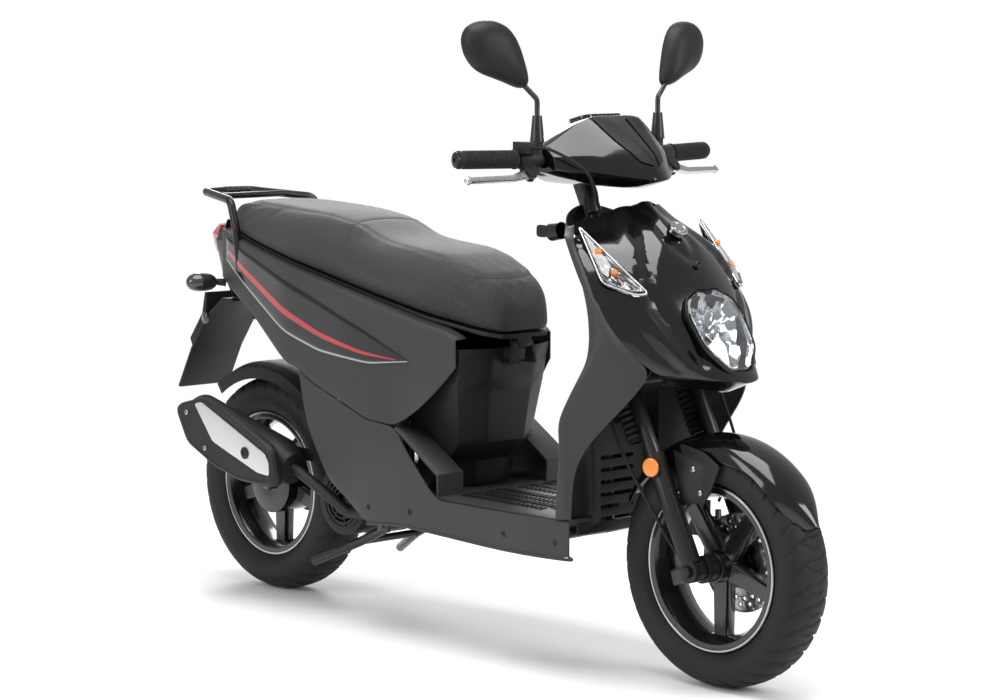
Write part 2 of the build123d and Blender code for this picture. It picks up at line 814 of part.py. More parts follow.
# ================================================================ power unit
crank_x, crank_z = rear(312), rear_axle_z + 4
belt_inner_y, belt_outer_y = 67.0, 150.0
belt_radius = 74.0
crankcase_right = 36.0
port_x, port_z = crank_x + 124, crank_z + 6
fan_shaft_radius = 8.0
kick_x, kick_z = rear(130), rear_axle_z + 8
kick_shaft_radius = 7.0
cylinder_plane = Plane(origin=(crank_x + 50, 10, crank_z + 38), x_dir=(0, 1, 0), z_dir=(1, 0, 0.12))
with BuildPart() as engine_case:
    with BuildSketch(across(Vector(0, 0, 0), belt_inner_y)):
        with Locations((crank_x - 20, -crank_z), (rear_axle_x, -rear_axle_z)):
            Circle(belt_radius)
        outline(
            [
                (crank_x - 20, -crank_z - belt_radius),
                (crank_x - 20, -crank_z + belt_radius),
                (rear_axle_x, -rear_axle_z + belt_radius),
                (rear_axle_x, -rear_axle_z - belt_radius),
            ]
        )
    extrude(amount=belt_outer_y - belt_inner_y - 20)
    with BuildSketch(across(Vector(0, 0, 0), belt_outer_y - 20)):
        with Locations((crank_x - 20, -crank_z), (rear_axle_x, -rear_axle_z)):
            Circle(belt_radius - 8)
        outline(
            [
                (crank_x - 20, -crank_z - belt_radius + 8),
                (crank_x - 20, -crank_z + belt_radius - 8),
                (rear_axle_x, -rear_axle_z + belt_radius - 8),
                (rear_axle_x, -rear_axle_z - belt_radius + 8),
            ]
        )
    extrude(amount=20)
    # crankcase
    plate(
        [
            (rear(246), crank_z - 60),
            (rear(246), crank_z + 60),
            (rear(262), crank_z + 60),
            (crank_x + 10, crank_z + 78),
            (crank_x + 62, crank_z + 70),
            (crank_x + 62, crank_z - 40),
            (crank_x + 20, crank_z - 78),
        ],
        (belt_inner_y - crankcase_right) / 2,
        belt_inner_y + crankcase_right,
    )
    # swing lug
    plate(
        [
            (pivot_x - 14, pivot_z + 12),
            (pivot_x + 10, pivot_z + 12),
            (pivot_x + 14, pivot_z - 10),
            (crank_x + 50, crank_z + 60),
            (crank_x + 10, crank_z + 70),
        ],
        0,
        48,
    )
    bar(-24, 24, pivot_x, pivot_z, 16)
    # finned cylinder
    for start, length, wide in [(0, 100, 62)] + [(8 + 14 * fin, 5, 78) for fin in range(7)]:
        with BuildSketch(cylinder_plane.offset(start)):
            RectangleRounded(wide, wide, 12)
        extrude(amount=length)
    # exhaust port and silencer lug
    with BuildSketch(Plane.XY.offset(port_z)):
        with Locations((port_x, 10)):
            Circle(14)
    extrude(amount=cylinder_plane.origin.Z - port_z)
    plate(
        [
            (rear(258), crank_z + 56),
            (rear(258), crank_z + 96),
            (rear(280), crank_z + 96),
            (rear(284), crank_z + 56),
        ],
        -crankcase_right + 8,
        16,
    )
    # crankshaft end for the fan, kick shaft
    bar(-crankcase_right - 42, 0, crank_x, crank_z, fan_shaft_radius)
    bar(belt_outer_y - 1, belt_outer_y + 22, kick_x, kick_z, kick_shaft_radius)
    # shock lug
    plate(
        [
            (shock_foot.X - 16, shock_foot.Z + 12),
            (shock_foot.X + 16, shock_foot.Z + 12),
            (shock_foot.X + 34, rear_axle_z + 60),
            (shock_foot.X - 24, rear_axle_z + 60),
        ],
        shock_y - 19,
        6,
    )
    bar(shock_y - 22, shock_y + 15, shock_foot.X, shock_foot.Z, shock_pin_radius)
    # rear axle
    bar(-54, belt_inner_y + 1, rear_axle_x, rear_axle_z, rear_axle_radius)
    bar(44, belt_inner_y, rear_axle_x, rear_axle_z, 58)
    bar(-30, 30, pivot_x, pivot_z, pivot_radius + running_clearance, Mode.SUBTRACT)

with BuildPart() as engine:
    add(engine_case.part)
    with BuildSketch(across(rear_axle, -52)):
        RegularPolygon(14, 6)
        Circle(rear_axle_radius + running_clearance, mode=Mode.SUBTRACT)
    extrude(amount=11)
save(engine, "engine_case")

fan_radius = 74.0
fan_inner_y, fan_outer_y = crankcase_right + fit_gap, rail_spacing - rail_radius
with BuildPart() as fan_shroud:
    with BuildSketch(across(Vector(crank_x, 0, crank_z), -fan_outer_y)):
        Circle(fan_radius)
        outline([(0, 30), (fan_radius + 80, -14), (fan_radius + 80, -84), (0, -fan_radius)])
    extrude(amount=fan_outer_y - fan_inner_y)
    with BuildSketch(across(Vector(crank_x, 0, crank_z), -fan_outer_y - 1)):
        Circle(48)
    extrude(amount=fan_outer_y - fan_inner_y - 12, mode=Mode.SUBTRACT)
    bar(-fan_outer_y, 0, crank_x, crank_z, fan_shaft_radius + 1, Mode.SUBTRACT)
save(fan_shroud, "fan_shroud")

with BuildPart() as fan:
    with BuildSketch(across(Vector(crank_x, 0, crank_z), -fan_inner_y - 13)):
        Circle(46)
        Circle(fan_shaft_radius + running_clearance, mode=Mode.SUBTRACT)
    extrude(amount=-6)
    with BuildSketch(across(Vector(crank_x, 0, crank_z), -fan_inner_y - 19)):
        Circle(14)
        with PolarLocations(32, 10):
            Rectangle(22, 3, rotation=25)
        Circle(fan_shaft_radius + running_clearance, mode=Mode.SUBTRACT)
    extrude(amount=-24)
save(fan, "cooling_fan")

muffler_y = -150.0
muffler_radius = 51.0
muffler_front = Vector(rear(222), muffler_y, rear_axle_z + 68)
muffler_rear = Vector(rear(-104), muffler_y, rear_axle_z + 148)
muffler_run = (muffler_rear - muffler_front).normalized()
with BuildPart() as exhaust:
    with BuildSketch(Plane(muffler_front, z_dir=muffler_run)):
        Circle(34)
    with BuildSketch(Plane(muffler_front + muffler_run * 50, z_dir=muffler_run)):
        Circle(muffler_radius)
    loft()
    with BuildSketch(Plane(muffler_front + muffler_run * 50, z_dir=muffler_run)):
        Circle(muffler_radius)
    extrude(amount=(muffler_rear - muffler_front).length - 50)
    with BuildSketch(Plane(muffler_rear, z_dir=muffler_run)):
        with Locations((0, 12)):
            Circle(11)
            Circle(9, mode=Mode.SUBTRACT)
    extrude(amount=22)
    tube(
        [
            Vector(port_x, 10, port_z - fit_gap),
            Vector(port_x, 10, crank_z - 12),
            Vector(port_x - 2, -114, crank_z - 12),
            Vector(crank_x + 50, -114, crank_z - 18),
            muffler_front - muffler_run * 20,
            muffler_front + muffler_run * 20,
        ],
        12,
        16,
    )

with BuildPart() as muffler_bracket:
    bracket_y = muffler_y + muffler_radius + fit_gap + 2.5
    plate(
        [
            (rear(256), crank_z + 98),
            (rear(282), crank_z + 98),
            (rear(282), crank_z + 74),
            (rear(256), crank_z + 74),
            (rear(140), rear_axle_z + 78),
            (rear(110), rear_axle_z + 84),
            (rear(110), rear_axle_z + 106),
        ],
        bracket_y,
        5,
    )
    bar(bracket_y, -crankcase_right - fit_gap, rear(269), crank_z + 86, 9)
with BuildPart() as exhaust_system:
    add(exhaust.part)
    add(muffler_bracket.part)
save(exhaust_system, "exhaust")

shield_y = muffler_y - muffler_radius - 2
with BuildPart() as muffler_shield:
    plate(
        [
            (rear(-122), rear_axle_z + 166),
            (rear(-20), rear_axle_z + 204),
            (rear(216), rear_axle_z + 114),
            (rear(240), rear_axle_z + 31),
            (rear(14), rear_axle_z + 59),
            (rear(-94), rear_axle_z + 102),
        ],
        shield_y,
        16,
    )
    with BuildSketch(Plane(muffler_front, z_dir=muffler_run)):
        Circle(muffler_radius + fit_gap)
    extrude(amount=(muffler_rear - muffler_front).length, mode=Mode.SUBTRACT)
save(muffler_shield, "muffler_shield")



def belt_top(x):
    """Height of the belt case's upper edge at x."""
    return rear_axle_z + belt_radius + (crank_z - rear_axle_z) * (x - rear_axle_x) / (crank_x - 20 - rear_axle_x)


with BuildPart() as air_filter_box:
    plate(
        [
            (rear(230), belt_top(rear(230)) + fit_gap),
            (rear(230), rear_axle_z + 140),
            (rear(200), rear_axle_z + 152),
            (rear(80), rear_axle_z + 148),
            (rear(70), belt_top(rear(70)) + fit_gap),
        ],
        101,
        60,
    )
with BuildPart() as carburettor:
    plate(
        [
            (rear(230) + fit_gap, rear_axle_z + 92),
            (rear(230) + fit_gap, rear_axle_z + 134),
            (rear(300), rear_axle_z + 130),
            (rear(316), rear_axle_z + 98),
            (rear(290), rear_axle_z + belt_radius + 6),
        ],
        100,
        44,
    )
with BuildPart() as intake:
    add(air_filter_box.part)
    add(carburettor.part)
save(intake, "air_filter_box")

hugger_inner, hugger_half = rear_tyre_radius + 31, rear_tyre_width / 2 + 8
hugger_back, hugger_sweep = 126.0, 92.0
with BuildPart() as rear_fender:
    with BuildSketch(section_plane(rear_axle, hugger_back)):
        for cut, mode in ((0.0, Mode.ADD), (wall, Mode.SUBTRACT)):
            outline(
                mirrored(
                    [
                        (hugger_half - cut, hugger_inner - 34 - cut),
                        (hugger_half - cut, hugger_inner - 8),
                        (hugger_half * 0.6 - cut / 2, hugger_inner + wall - cut),
                    ]
                ),
                mode,
            )
    revolve(axis=about(rear_axle), revolution_arc=hugger_sweep)
    plate(
        [
            (rear(212), rear_axle_z + 118),
            (rear(212), rear_axle_z + 172),
            (rear(252), rear_axle_z + 120),
            (rear(252), crank_z + 60 + fit_gap),
            (rear(238), crank_z + 60 + fit_gap),
        ],
        0,
        80,
    )
save(rear_fender, "rear_fender")

with BuildPart() as kick_lever:
    bar(belt_outer_y + 2, belt_outer_y + 18, kick_x, kick_z, 15)
    plate(
        [
            (kick_x - 8, kick_z + 12),
            (kick_x + 150, kick_z + 46),
            (kick_x + 154, kick_z + 32),
            (kick_x + 4, kick_z - 14),
        ],
        belt_outer_y + 11,
        10,
    )
    bar(belt_outer_y + 4, belt_outer_y + 44, kick_x + 150, kick_z + 38, 9)
    bar(
        belt_outer_y,
        belt_outer_y + 60,
        kick_x,
        kick_z,
        kick_shaft_radius + running_clearance,
        Mode.SUBTRACT,
    )
save(kick_lever, "kick_lever")

# ================================================================ rear shock
shock_line = (shock_top - shock_foot).normalized()
shock_length = (shock_top - shock_foot).length
shock_frame = Plane(shock_foot, x_dir=(0, 1, 0), z_dir=shock_line)
with BuildPart() as shock_body:
    with BuildSketch(shock_frame.offset(120)):
        Circle(16)
    extrude(amount=shock_length - 134)
    with BuildSketch(shock_frame.offset(shock_length - 34)):
        Circle(28)
    extrude(amount=8)
    bar(shock_y - 12, shock_y + 12, shock_top.X, shock_top.Z, 17)
    bar(shock_y - 13, shock_y + 13, shock_top.X, shock_top.Z, shock_pin_radius + running_clearance, Mode.SUBTRACT)
    with BuildSketch(shock_frame.offset(119)):
        Circle(6 + running_clearance)
    extrude(amount=100, mode=Mode.SUBTRACT)
save(shock_body, "shock_body")
with BuildPart() as shock_rod:
    bar(shock_y - 12, shock_y + 12, shock_foot.X, shock_foot.Z, 17)
    with BuildSketch(shock_frame.offset(12)):
        Circle(6)
    extrude(amount=150)
    with BuildSketch(shock_frame.offset(26)):
        Circle(28)
    extrude(amount=6)
    bar(shock_y - 13, shock_y + 13, shock_foot.X, shock_foot.Z, shock_pin_radius + open_pivot_gap, Mode.SUBTRACT)
save(shock_rod, "shock_rod")
spring_low, spring_high = 32.0 + 3.5 + fit_gap, shock_length - 34 - 3.5 - fit_gap
with BuildPart() as shock_spring:
    with BuildLine():
        coil = Helix(
            pitch=(spring_high - spring_low) / 8,
            height=spring_high - spring_low,
            radius=23,
            center=shock_foot + shock_line * spring_low,
            direction=shock_line,
        )
    with BuildSketch(Plane(coil @ 0, z_dir=coil % 0)):
        Circle(3.5)
    sweep()
save(shock_spring, "shock_spring")

# ================================================================ body panels
def shield_outline(half, rider, edge, inset):
    """Plan of the leg shield at one height, closed along its open front edge."""
    out = half - inset
    back = rider + inset
    front_x = edge + (1 if inset else 0)
    turn = min(60, (edge - rider) * 0.55)
    return [
        (front_x, out),
        (rider + turn + inset, out * 0.97),
        (back, out * 0.5),
        (back, -out * 0.5),
        (rider + turn + inset, -out * 0.97),
        (front_x, -out),
    ]


key_y, key_z = -48.0, 838.0
key_face = front(-418)
lock_radius, key_radius = 16.0, 3.0
with BuildPart() as leg_shield:
    skin([(z, shield_outline(h, r, e, 0)) for z, h, r, e in shield_levels])
    first, last = shield_levels[0], shield_levels[-1]
    skin(
        [(first[0] - 1, shield_outline(*first[1:], wall))]
        + [(z, shield_outline(h, r, e, wall)) for z, h, r, e in shield_levels]
        + [(last[0] + 1, shield_outline(*last[1:], wall))],
        Mode.SUBTRACT,
    )
    with BuildSketch(Plane.YZ.offset(key_face - 60)):
        with Locations((key_y, key_z)):
            Circle(lock_radius + fit_gap)
    extrude(amount=120, mode=Mode.SUBTRACT)

with BuildPart() as ignition_lock:
    with BuildSketch(Plane.YZ.offset(key_face - 9)):
        with Locations((key_y, key_z)):
            Circle(lock_radius)
            Circle(key_radius + running_clearance, mode=Mode.SUBTRACT)
    extrude(amount=44)

with BuildPart() as leg_shield_and_lock:
    add(leg_shield.part)
    add(ignition_lock.part)
save(leg_shield_and_lock, "leg_shield")


fascia_wall = 3.5
fascia_levels = [
    # height, nose, shoulder x, shoulder half width
    (572.0, front(58), front(4), 52.0),
    (598.0, front(44), front(-10), 84.0),
    (690.0, front(-30), front(-70), 124.0),
    (748.0, front(-50), front(-95), 132.0),
    (791.0, front(-72), front(-130), 140.0),
    (850.0, front(-126), front(-180), 118.0),
    (905.0, front(-204), front(-236), 74.0),
]


def fascia_outline(height, nose, shoulder, wide, inset):
    half, _, edge = shield_at(height)
    back = edge + 2 * fit_gap - (1 if inset else 0)
    return [
        (nose - inset * 1.2, 0),
        (shoulder - inset, wide - inset * 0.6),
        (back, half - inset),
        (back, -half + inset),
        (shoulder - inset, -wide + inset * 0.6),
    ]


lamp_top = Vector(front(-62), 0, 748)
lamp_tip = Vector(front(36), 0, 596)
lamp_fall = (lamp_tip - lamp_top).normalized()
lamp_out = Vector(-lamp_fall.Z, 0, lamp_fall.X)
lamp_plane = Plane((lamp_top + lamp_tip) / 2, x_dir=(0, 1, 0), z_dir=lamp_out)
lamp_half_length = (lamp_tip - lamp_top).length / 2
lamp_shape = [
    (0, lamp_half_length - 6),
    (60, lamp_half_length - 20),
    (74, lamp_half_length * 0.45),
    (60, -lamp_half_length * 0.30),
    (16, -lamp_half_length),
    (-16, -lamp_half_length),
    (-60, -lamp_half_length * 0.30),
    (-74, lamp_half_length * 0.45),
    (-60, lamp_half_length - 20),
]


def shrunk(points, factor):
    return [(x * factor, y * factor) for x, y in points]


blinker_points = [(front(-232), 170.0, 868.0), (front(-139), 186.0, 757.0), (front(-80), 124.0, 734.0)]


def blinker_plane(side):
    a, b, c = (Vector(x, side * y, z) for x, y, z in blinker_points)
    out = (b - a).cross(c - a).normalized()
    if out.X < 0:
        out = out * -1
    return Plane(a, x_dir=(b - a).normalized(), z_dir=out)


def blinker_outline(plane, side, grow=0.0):
    corners = [plane.to_local_coords(Vector(x, side * y, z)) for x, y, z in blinker_points]
    middle = sum(corners, Vector()) / 3
    return [((p.X - middle.X) * (1 + grow) + middle.X, (p.Y - middle.Y) * (1 + grow) + middle.Y) for p in corners]


with BuildPart() as front_fascia:
    skin([(level[0], fascia_outline(*level, 0)) for level in fascia_levels])
    first, last = fascia_levels[0], fascia_levels[-1]
    skin(
        [(first[0] - 1, fascia_outline(*first, fascia_wall))]
        + [(level[0], fascia_outline(*level, fascia_wall)) for level in fascia_levels]
        + [(last[0] + 1, fascia_outline(*last, fascia_wall))],
        Mode.SUBTRACT,
    )
    with BuildSketch(lamp_plane.offset(-60)):
        outline(lamp_shape)
    extrude(amount=120, mode=Mode.SUBTRACT)
    for side in (-1, 1):
        seat_face = blinker_plane(side)
        with BuildSketch(seat_face.offset(-20)):
            outline(blinker_outline(seat_face, side))
        extrude(amount=40, mode=Mode.SUBTRACT)
save(front_fascia, "front_fascia")

with BuildPart() as headlight_housing:
    with BuildSketch(lamp_plane.offset(-44)):
        outline(shrunk(lamp_shape, 0.62))
    with BuildSketch(lamp_plane.offset(-7)):
        outline(shrunk(lamp_shape, 0.995))
    loft(ruled=True)
    with BuildSketch(lamp_plane.offset(-40)):
        outline(shrunk(lamp_shape, 0.56))
    with BuildSketch(lamp_plane.offset(-6.9)):
        outline(shrunk(lamp_shape, 0.93))
    loft(ruled=True, mode=Mode.SUBTRACT)

with BuildPart() as headlight_lens:
    with BuildSketch(lamp_plane.offset(-7 + fit_gap)):
        outline(shrunk(lamp_shape, 0.995))
    extrude(amount=5)
save(headlight_lens, "headlight_lens")

with BuildPart() as headlight_bulb:
    with BuildSketch(lamp_plane.offset(-40 + fit_gap)):
        Circle(9)
    extrude(amount=22)
with BuildPart() as lamp_unit:
    add(headlight_housing.part)
    add(headlight_bulb.part)
save(lamp_unit, "headlight_housing")

with BuildPart() as front_indicators:
    for side in (-1, 1):
        face = blinker_plane(side)
        with BuildSketch(face.offset(-11)):
            outline(blinker_outline(face, side, -0.006))
        extrude(amount=12)

inner_fender_x = front(-290)
inner_fender_boss_z = 440.0
with BuildPart() as inner_fender:
    with BuildSketch(Plane.YZ.offset(inner_fender_x)):
        outline([(-105, 262), (105, 262), (112, 380), (80, 470), (-80, 470), (-112, 380)])
        with Locations(*[(0, 286 + 24 * n) for n in range(6)]):
            SlotOverall(90, 8, mode=Mode.SUBTRACT)
    extrude(amount=wall + 1)
    with BuildSketch(Plane.YZ.offset(inner_fender_x)):
        with Locations((0, inner_fender_boss_z)):
            Circle(8)
    extrude(amount=down_tube_front(inner_fender_boss_z) + 2 * fit_gap - inner_fender_x)
save(inner_fender, "inner_fender")

# ================================================================ headset
headset_split_x = bar_knee[1].X - 10
headset_stations = [
    # distance from the centre plane, then the outline in (x ahead of the knee, height) from the nose over the top
    (0.0, [(184, 943), (150, 990), (36, 1064), (-54, 1042), (-84, 990), (-66, 932), (112, 927)]),
    (75.0, [(146, 946), (118, 990), (32, 1052), (-54, 1032), (-80, 988), (-64, 934), (92, 932)]),
    (120.0, [(86, 958), (72, 990), (18, 1030), (-44, 1020), (-66, 986), (-54, 948), (46, 946)]),
    (mirror_y - mirror_boss_radius - fit_gap, [(38, 964), (34, 990), (6, 1007), (-28, 1005), (-40, 986), (-32, 964), (10, 958)]),
]
knee_x = bar_knee[1].X


def headset_solid(inset, reach, mode):
    sections = []
    for y, points in [(-y, p) for y, p in headset_stations[:0:-1]] + headset_stations:
        half = len(points)
        middle_x = sum(p[0] for p in points) / half
        middle_z = sum(p[1] for p in points) / half
        y += 0 if abs(y) < headset_stations[-1][0] else (reach if y > 0 else -reach)
        moved = []
        for x, z in points:
            away = Vector(x - middle_x, z - middle_z, 0)
            away = away * (1 - inset / away.length)
            moved.append((knee_x + middle_x + away.X, middle_z + away.Y))
        with BuildSketch(Plane.XZ.offset(-y)) as section:
            outline(moved)
        sections.append(section.sketch)
    loft(sections, ruled=True, mode=mode)


button_y = 112.0
button_radius = 7.0
button_z = 984.0
with BuildPart() as headset_shell:
    headset_solid(0, 0, Mode.ADD)
    headset_solid(wall + 1, 2, Mode.SUBTRACT)
    with BuildSketch(steering.offset(clamp_low)):
        Circle(clamp_radius + 5)
    extrude(amount=stem_top + 32 - clamp_low, mode=Mode.SUBTRACT)

with BuildPart() as headset_cover:
    add(headset_shell.part)
    split(bisect_by=Plane.YZ.offset(headset_split_x), keep=Keep.TOP)

switch_holes = {
    "starter_button": (-button_y, button_z, button_radius),
    "horn_button": (button_y + 10, button_z - 14, button_radius),
    "indicator_switch": (button_y - 14, button_z - 10, button_radius),
    "beam_switch": (button_y - 2, button_z + 16, button_radius - 1),
}
with BuildPart() as headset_cover_rear:
    add(headset_shell.part)
    split(bisect_by=Plane.YZ.offset(headset_split_x), keep=Keep.BOTTOM)
    for y, z, radius in switch_holes.values():
        with BuildSketch(Plane.YZ.offset(knee_x - 100)):
            with Locations((y, z)):
                Circle(radius + running_clearance)
        extrude(amount=70, mode=Mode.SUBTRACT)

with BuildPart() as headset:
    add(headset_cover.part)
    add(headset_cover_rear.part)
save(headset, "headset_cover")

for name, (y, z, radius) in switch_holes.items():
    with BuildPart() as button:
        with BuildSketch(Plane.YZ.offset(knee_x - 86)):
            with Locations((y, z)):
                Circle(radius)
        extrude(amount=34)
    save(button, name)

with BuildPart() as instrument_panel:
    with BuildSketch(Plane(origin=(knee_x - 9, 0, 1053.4), x_dir=(0, 1, 0), z_dir=(-0.235, 0, 0.972))):
        RectangleRounded(104, 58, 18)
    extrude(amount=9)
save(instrument_panel, "instrument_panel")

with BuildPart() as ignition_key:
    with BuildSketch(Plane.YZ.offset(key_face - 38)):
        with Locations((key_y, key_z)):
            Circle(key_radius)
    extrude(amount=60)
    with BuildSketch(Plane.XZ.offset(-key_y)):
        with Locations((key_face - 30, key_z)):
            RectangleRounded(30, 24, 8)
    extrude(amount=1.5, both=True)
save(ignition_key, "ignition_key")

# ================================================================ cables on the fork
cable_radius = 3.0
speedo_route = [
    Vector(front(-28), -52, front_axle_z - 4),
    Vector(front(-62), -66, front_axle_z + 24),
    Vector(front(-98), -100, front_axle_z + 110),
    Vector(front(-150), -120, front_axle_z + 205),
    Vector(front(-196), -121, front_axle_z + 300),
    Vector(front(-218), -118, front_axle_z + 360),
    Vector(front(-256), -88, front_axle_z + 440),
    Vector(front(-300), -60, front_axle_z + 550),
    Vector(front(-326), -50, front_axle_z + 680),
]
hose_route = [
    Vector(mirror_x + 25.2, -197, 1007),
    Vector(mirror_x + 62, -190, 1006),
    Vector(mirror_x + 98, -140, 972),
    Vector(mirror_x + 90, -98, 930),
    Vector(mirror_x + 64, -60, 888),
    Vector(front(-248), -40, front_axle_z + 570),
    Vector(front(-212), 30, front_axle_z + 470),
    Vector(front(-136), 88, front_axle_z + 372),
    Vector(front(-106), 116, front_axle_z + 275),
    Vector(front(-76), 120, front_axle_z + 190),
    Vector(front(-76), 119, front_axle_z + 140),
    Vector(front(-90), 88, front_axle_z + 112),
    Vector(front(-72), 60, front_axle_z + 108),
    Vector(front(-68), hose_union_y, hose_union_z + fit_gap),
]
with BuildPart() as cables:
    for route in (speedo_route, hose_route):
        with BuildLine() as run:
            Spline(*route)
        with BuildSketch(Plane(run.line @ 0, z_dir=run.line % 0)):
            Circle(cable_radius)
        sweep()
save(cables, "fork_cables")

# ================================================================ seat
seat_bottom_front = (front(-548), 618.0)
seat_bottom_rear = (rear(43), 768.0)
seat_hinge_x, seat_hinge_z = front(-556), 606.0
seat_pin_radius = 4.0
seat_slope = (seat_bottom_rear[1] - seat_bottom_front[1]) / (seat_bottom_rear[0] - seat_bottom_front[0])
seat_base_thickness = 8.0


def seat_line(x):
    """Height of the seat's underside at x."""
    return seat_bottom_front[1] + seat_slope * (x - seat_bottom_front[0])


seat_plan = mirrored(
    [
        (62, front(-546)),
        (92, front(-580)),
        (seat_half_width - 8, front(-700)),
        (seat_half_width, rear(480)),
        (seat_half_width - 2, rear(200)),
        (seat_half_width - 20, rear(60)),
        (92, rear(-60)),
        (40, rear(-106)),
    ]
)
seat_plan = [(x, y) for y, x in seat_plan]
seat_back_x = rear(-112)


def plan_cut(points):
    """Keeps what lies inside a plan outline."""
    with BuildSketch() as section:
        outline(points)
    extrude(section.sketch, amount=1500, mode=Mode.INTERSECT)


with BuildPart() as seat_base:
    plate(
        [
            (seat_bottom_front[0], seat_bottom_front[1]),
            (seat_back_x, seat_line(seat_back_x)),
            (seat_back_x, seat_line(seat_back_x) + seat_base_thickness),
            (seat_bottom_front[0], seat_bottom_front[1] + seat_base_thickness),
        ],
        0,
        2 * seat_half_width,
    )
    plan_cut([(x, y * 0.96) for x, y in seat_plan])
    plate(
        [
            (seat_hinge_x - 12, seat_hinge_z - 6),
            (seat_hinge_x + 8, seat_hinge_z - 8),
            (seat_bottom_front[0] + 0, seat_bottom_front[1] + 3),
            (seat_bottom_front[0] - 40, seat_line(seat_bottom_front[0] - 40) + 3),
        ],
        0,
        36,
    )
    bar(-18, 18, seat_hinge_x, seat_hinge_z, 10)
    bar(-20, 20, seat_hinge_x, seat_hinge_z, seat_pin_radius + running_clearance, Mode.SUBTRACT)
save(seat_base, "seat_base")

with BuildPart() as seat_cushion:
    lift = seat_base_thickness + fit_gap
    with BuildSketch(Plane.XZ):
        with BuildLine():
            Polyline(
                (seat_back_x, seat_line(seat_back_x) + lift),
                (seat_bottom_front[0], seat_bottom_front[1] + lift),
                (front(-600), 735),
                (front(-650), 763),
            )
            Spline(
                (front(-650), 763),
                (front(-730), 783),
                (rear(490), 791),
                (rear(347), 828),
                (rear(200), 849),
                (rear(-40), 860),
                (rear(-96), 846),
            )
            Polyline((rear(-96), 846), (seat_back_x, seat_line(seat_back_x) + lift))
        make_face()
    extrude(amount=seat_half_width, both=True)
    plan_cut(seat_plan)
save(seat_cushion, "seat_cushion")

# ================================================================ middle and rear body
pedestal_levels = [
    (floor_height + floor_thickness + fit_gap, front(-652), 84.0),
    (360.0, front(-648), 92.0),
    (403.0, front(-606), 100.0),
    (520.0, front(-590), 118.0),
    (596.0, front(-577), 122.0),
]
pedestal_back = front(-760)


def pedestal_outline(front_x, half, inset):
    back = pedestal_back - (1 if inset else 0)
    return [
        (front_x - inset, half * 0.5 - inset / 2),
        (front_x - 30 - inset, half - inset),
        (back, half + 8 - inset),
        (back, -half - 8 + inset),
        (front_x - 30 - inset, -half + inset),
        (front_x - inset, -half * 0.5 + inset / 2),
    ]


with BuildPart() as seat_pedestal:
    skin([(z, pedestal_outline(x, h, 0)) for z, x, h in pedestal_levels])
    first, last = pedestal_levels[0], pedestal_levels[-1]
    skin(
        [(first[0] - 1, pedestal_outline(*first[1:], wall))]
        + [(z, pedestal_outline(x, h, wall)) for z, x, h in pedestal_levels]
        + [(last[0] + 1, pedestal_outline(*last[1:], wall))],
        Mode.SUBTRACT,
    )
    # hinge lugs for the seat
    for side in (-1, 1):
        plate(
            [
                (seat_hinge_x - 14, seat_hinge_z - 40),
                (seat_hinge_x + 18, seat_hinge_z - 40),
                (seat_hinge_x + 6, seat_hinge_z + 5),
                (seat_hinge_x - 7, seat_hinge_z + 5),
            ],
            side * 21.5,
            6,
        )
    plate([(seat_hinge_x - 14, seat_hinge_z - 44), (front(-584), seat_hinge_z - 44), (front(-584), seat_hinge_z - 38), (seat_hinge_x - 14, seat_hinge_z - 38)], 0, 49)
    bar(-26, 26, seat_hinge_x, seat_hinge_z, seat_pin_radius)
save(seat_pedestal, "seat_pedestal")

floor_rear_x = front(-736)
floor_half = floor_half_width - 8
with BuildPart() as floorboard:
    with BuildSketch(Plane.XY.offset(floor_height)):
        outline(
            [
                (front(-232), floor_half),
                (floor_rear_x, floor_half - 8),
                (floor_rear_x, -floor_half + 8),
                (front(-232), -floor_half),
                (front(-232), -118),
                (front(-352), -118),
                (front(-352), 118),
                (front(-232), 118),
            ]
        )
    extrude(amount=floor_thickness)
    # flanks that climb beside the pedestal
    for side in (-1, 1):
        plate(
            [
                (front(-604), floor_height + 2),
                (front(-604), floor_height + 52),
                (floor_rear_x, floor_height + 134),
                (floor_rear_x, floor_height + 129),
                (front(-609), floor_height + 48),
                (front(-609), floor_height + 2),
            ],
            side * 150,
            68,
        )
save(floorboard, "floorboard")

with BuildPart() as battery:
    with BuildSketch(Plane.XY.offset(floor_height - fit_gap - 76)):
        with Locations((front(-500), 0)):
            RectangleRounded(150, 90, 4)
    extrude(amount=76)
save(battery, "battery")


def side_wall(points, strip):
    """A panel on each side: a side outline cut to a plan strip given for the left."""
    with BuildSketch(Plane.XZ) as section:
        outline(points)
    extrude(section.sketch, amount=floor_half_width + 40, both=True)
    with BuildSketch() as strips:
        outline(strip)
        outline([(x, -y) for x, y in strip])
    extrude(strips.sketch, amount=1500, mode=Mode.INTERSECT)


def strip_plan(outer, thickness):
    """A plan strip with a straight-sided outer line and a wall inside it."""
    return outer + [(x, y - thickness) for x, y in reversed(outer)]


skirt_line = [
    (front(-216), floor_half_width - 4),
    (front(-420), floor_half_width),
    (front(-700), floor_half_width - 4),
    (front(-836), floor_half_width - 14),
    (rear(440), 176),
    (rear(240), 165),
]
with BuildPart() as side_skirts:
    side_wall(
        [
            (front(-216), 216),
            (front(-229), 312),
            (front(-600), 303),
            (front(-640), 345),
            (front(-736), 434),
            (rear(489), 439),
            (rear(284), 502),
            (rear(256), 524),
            (rear(282), 416),
            (rear(361), 302),
            (rear(505), 227),
            (front(-686), 238),
        ],
        strip_plan(skirt_line, wall),
    )
save(side_skirts, "side_skirts")

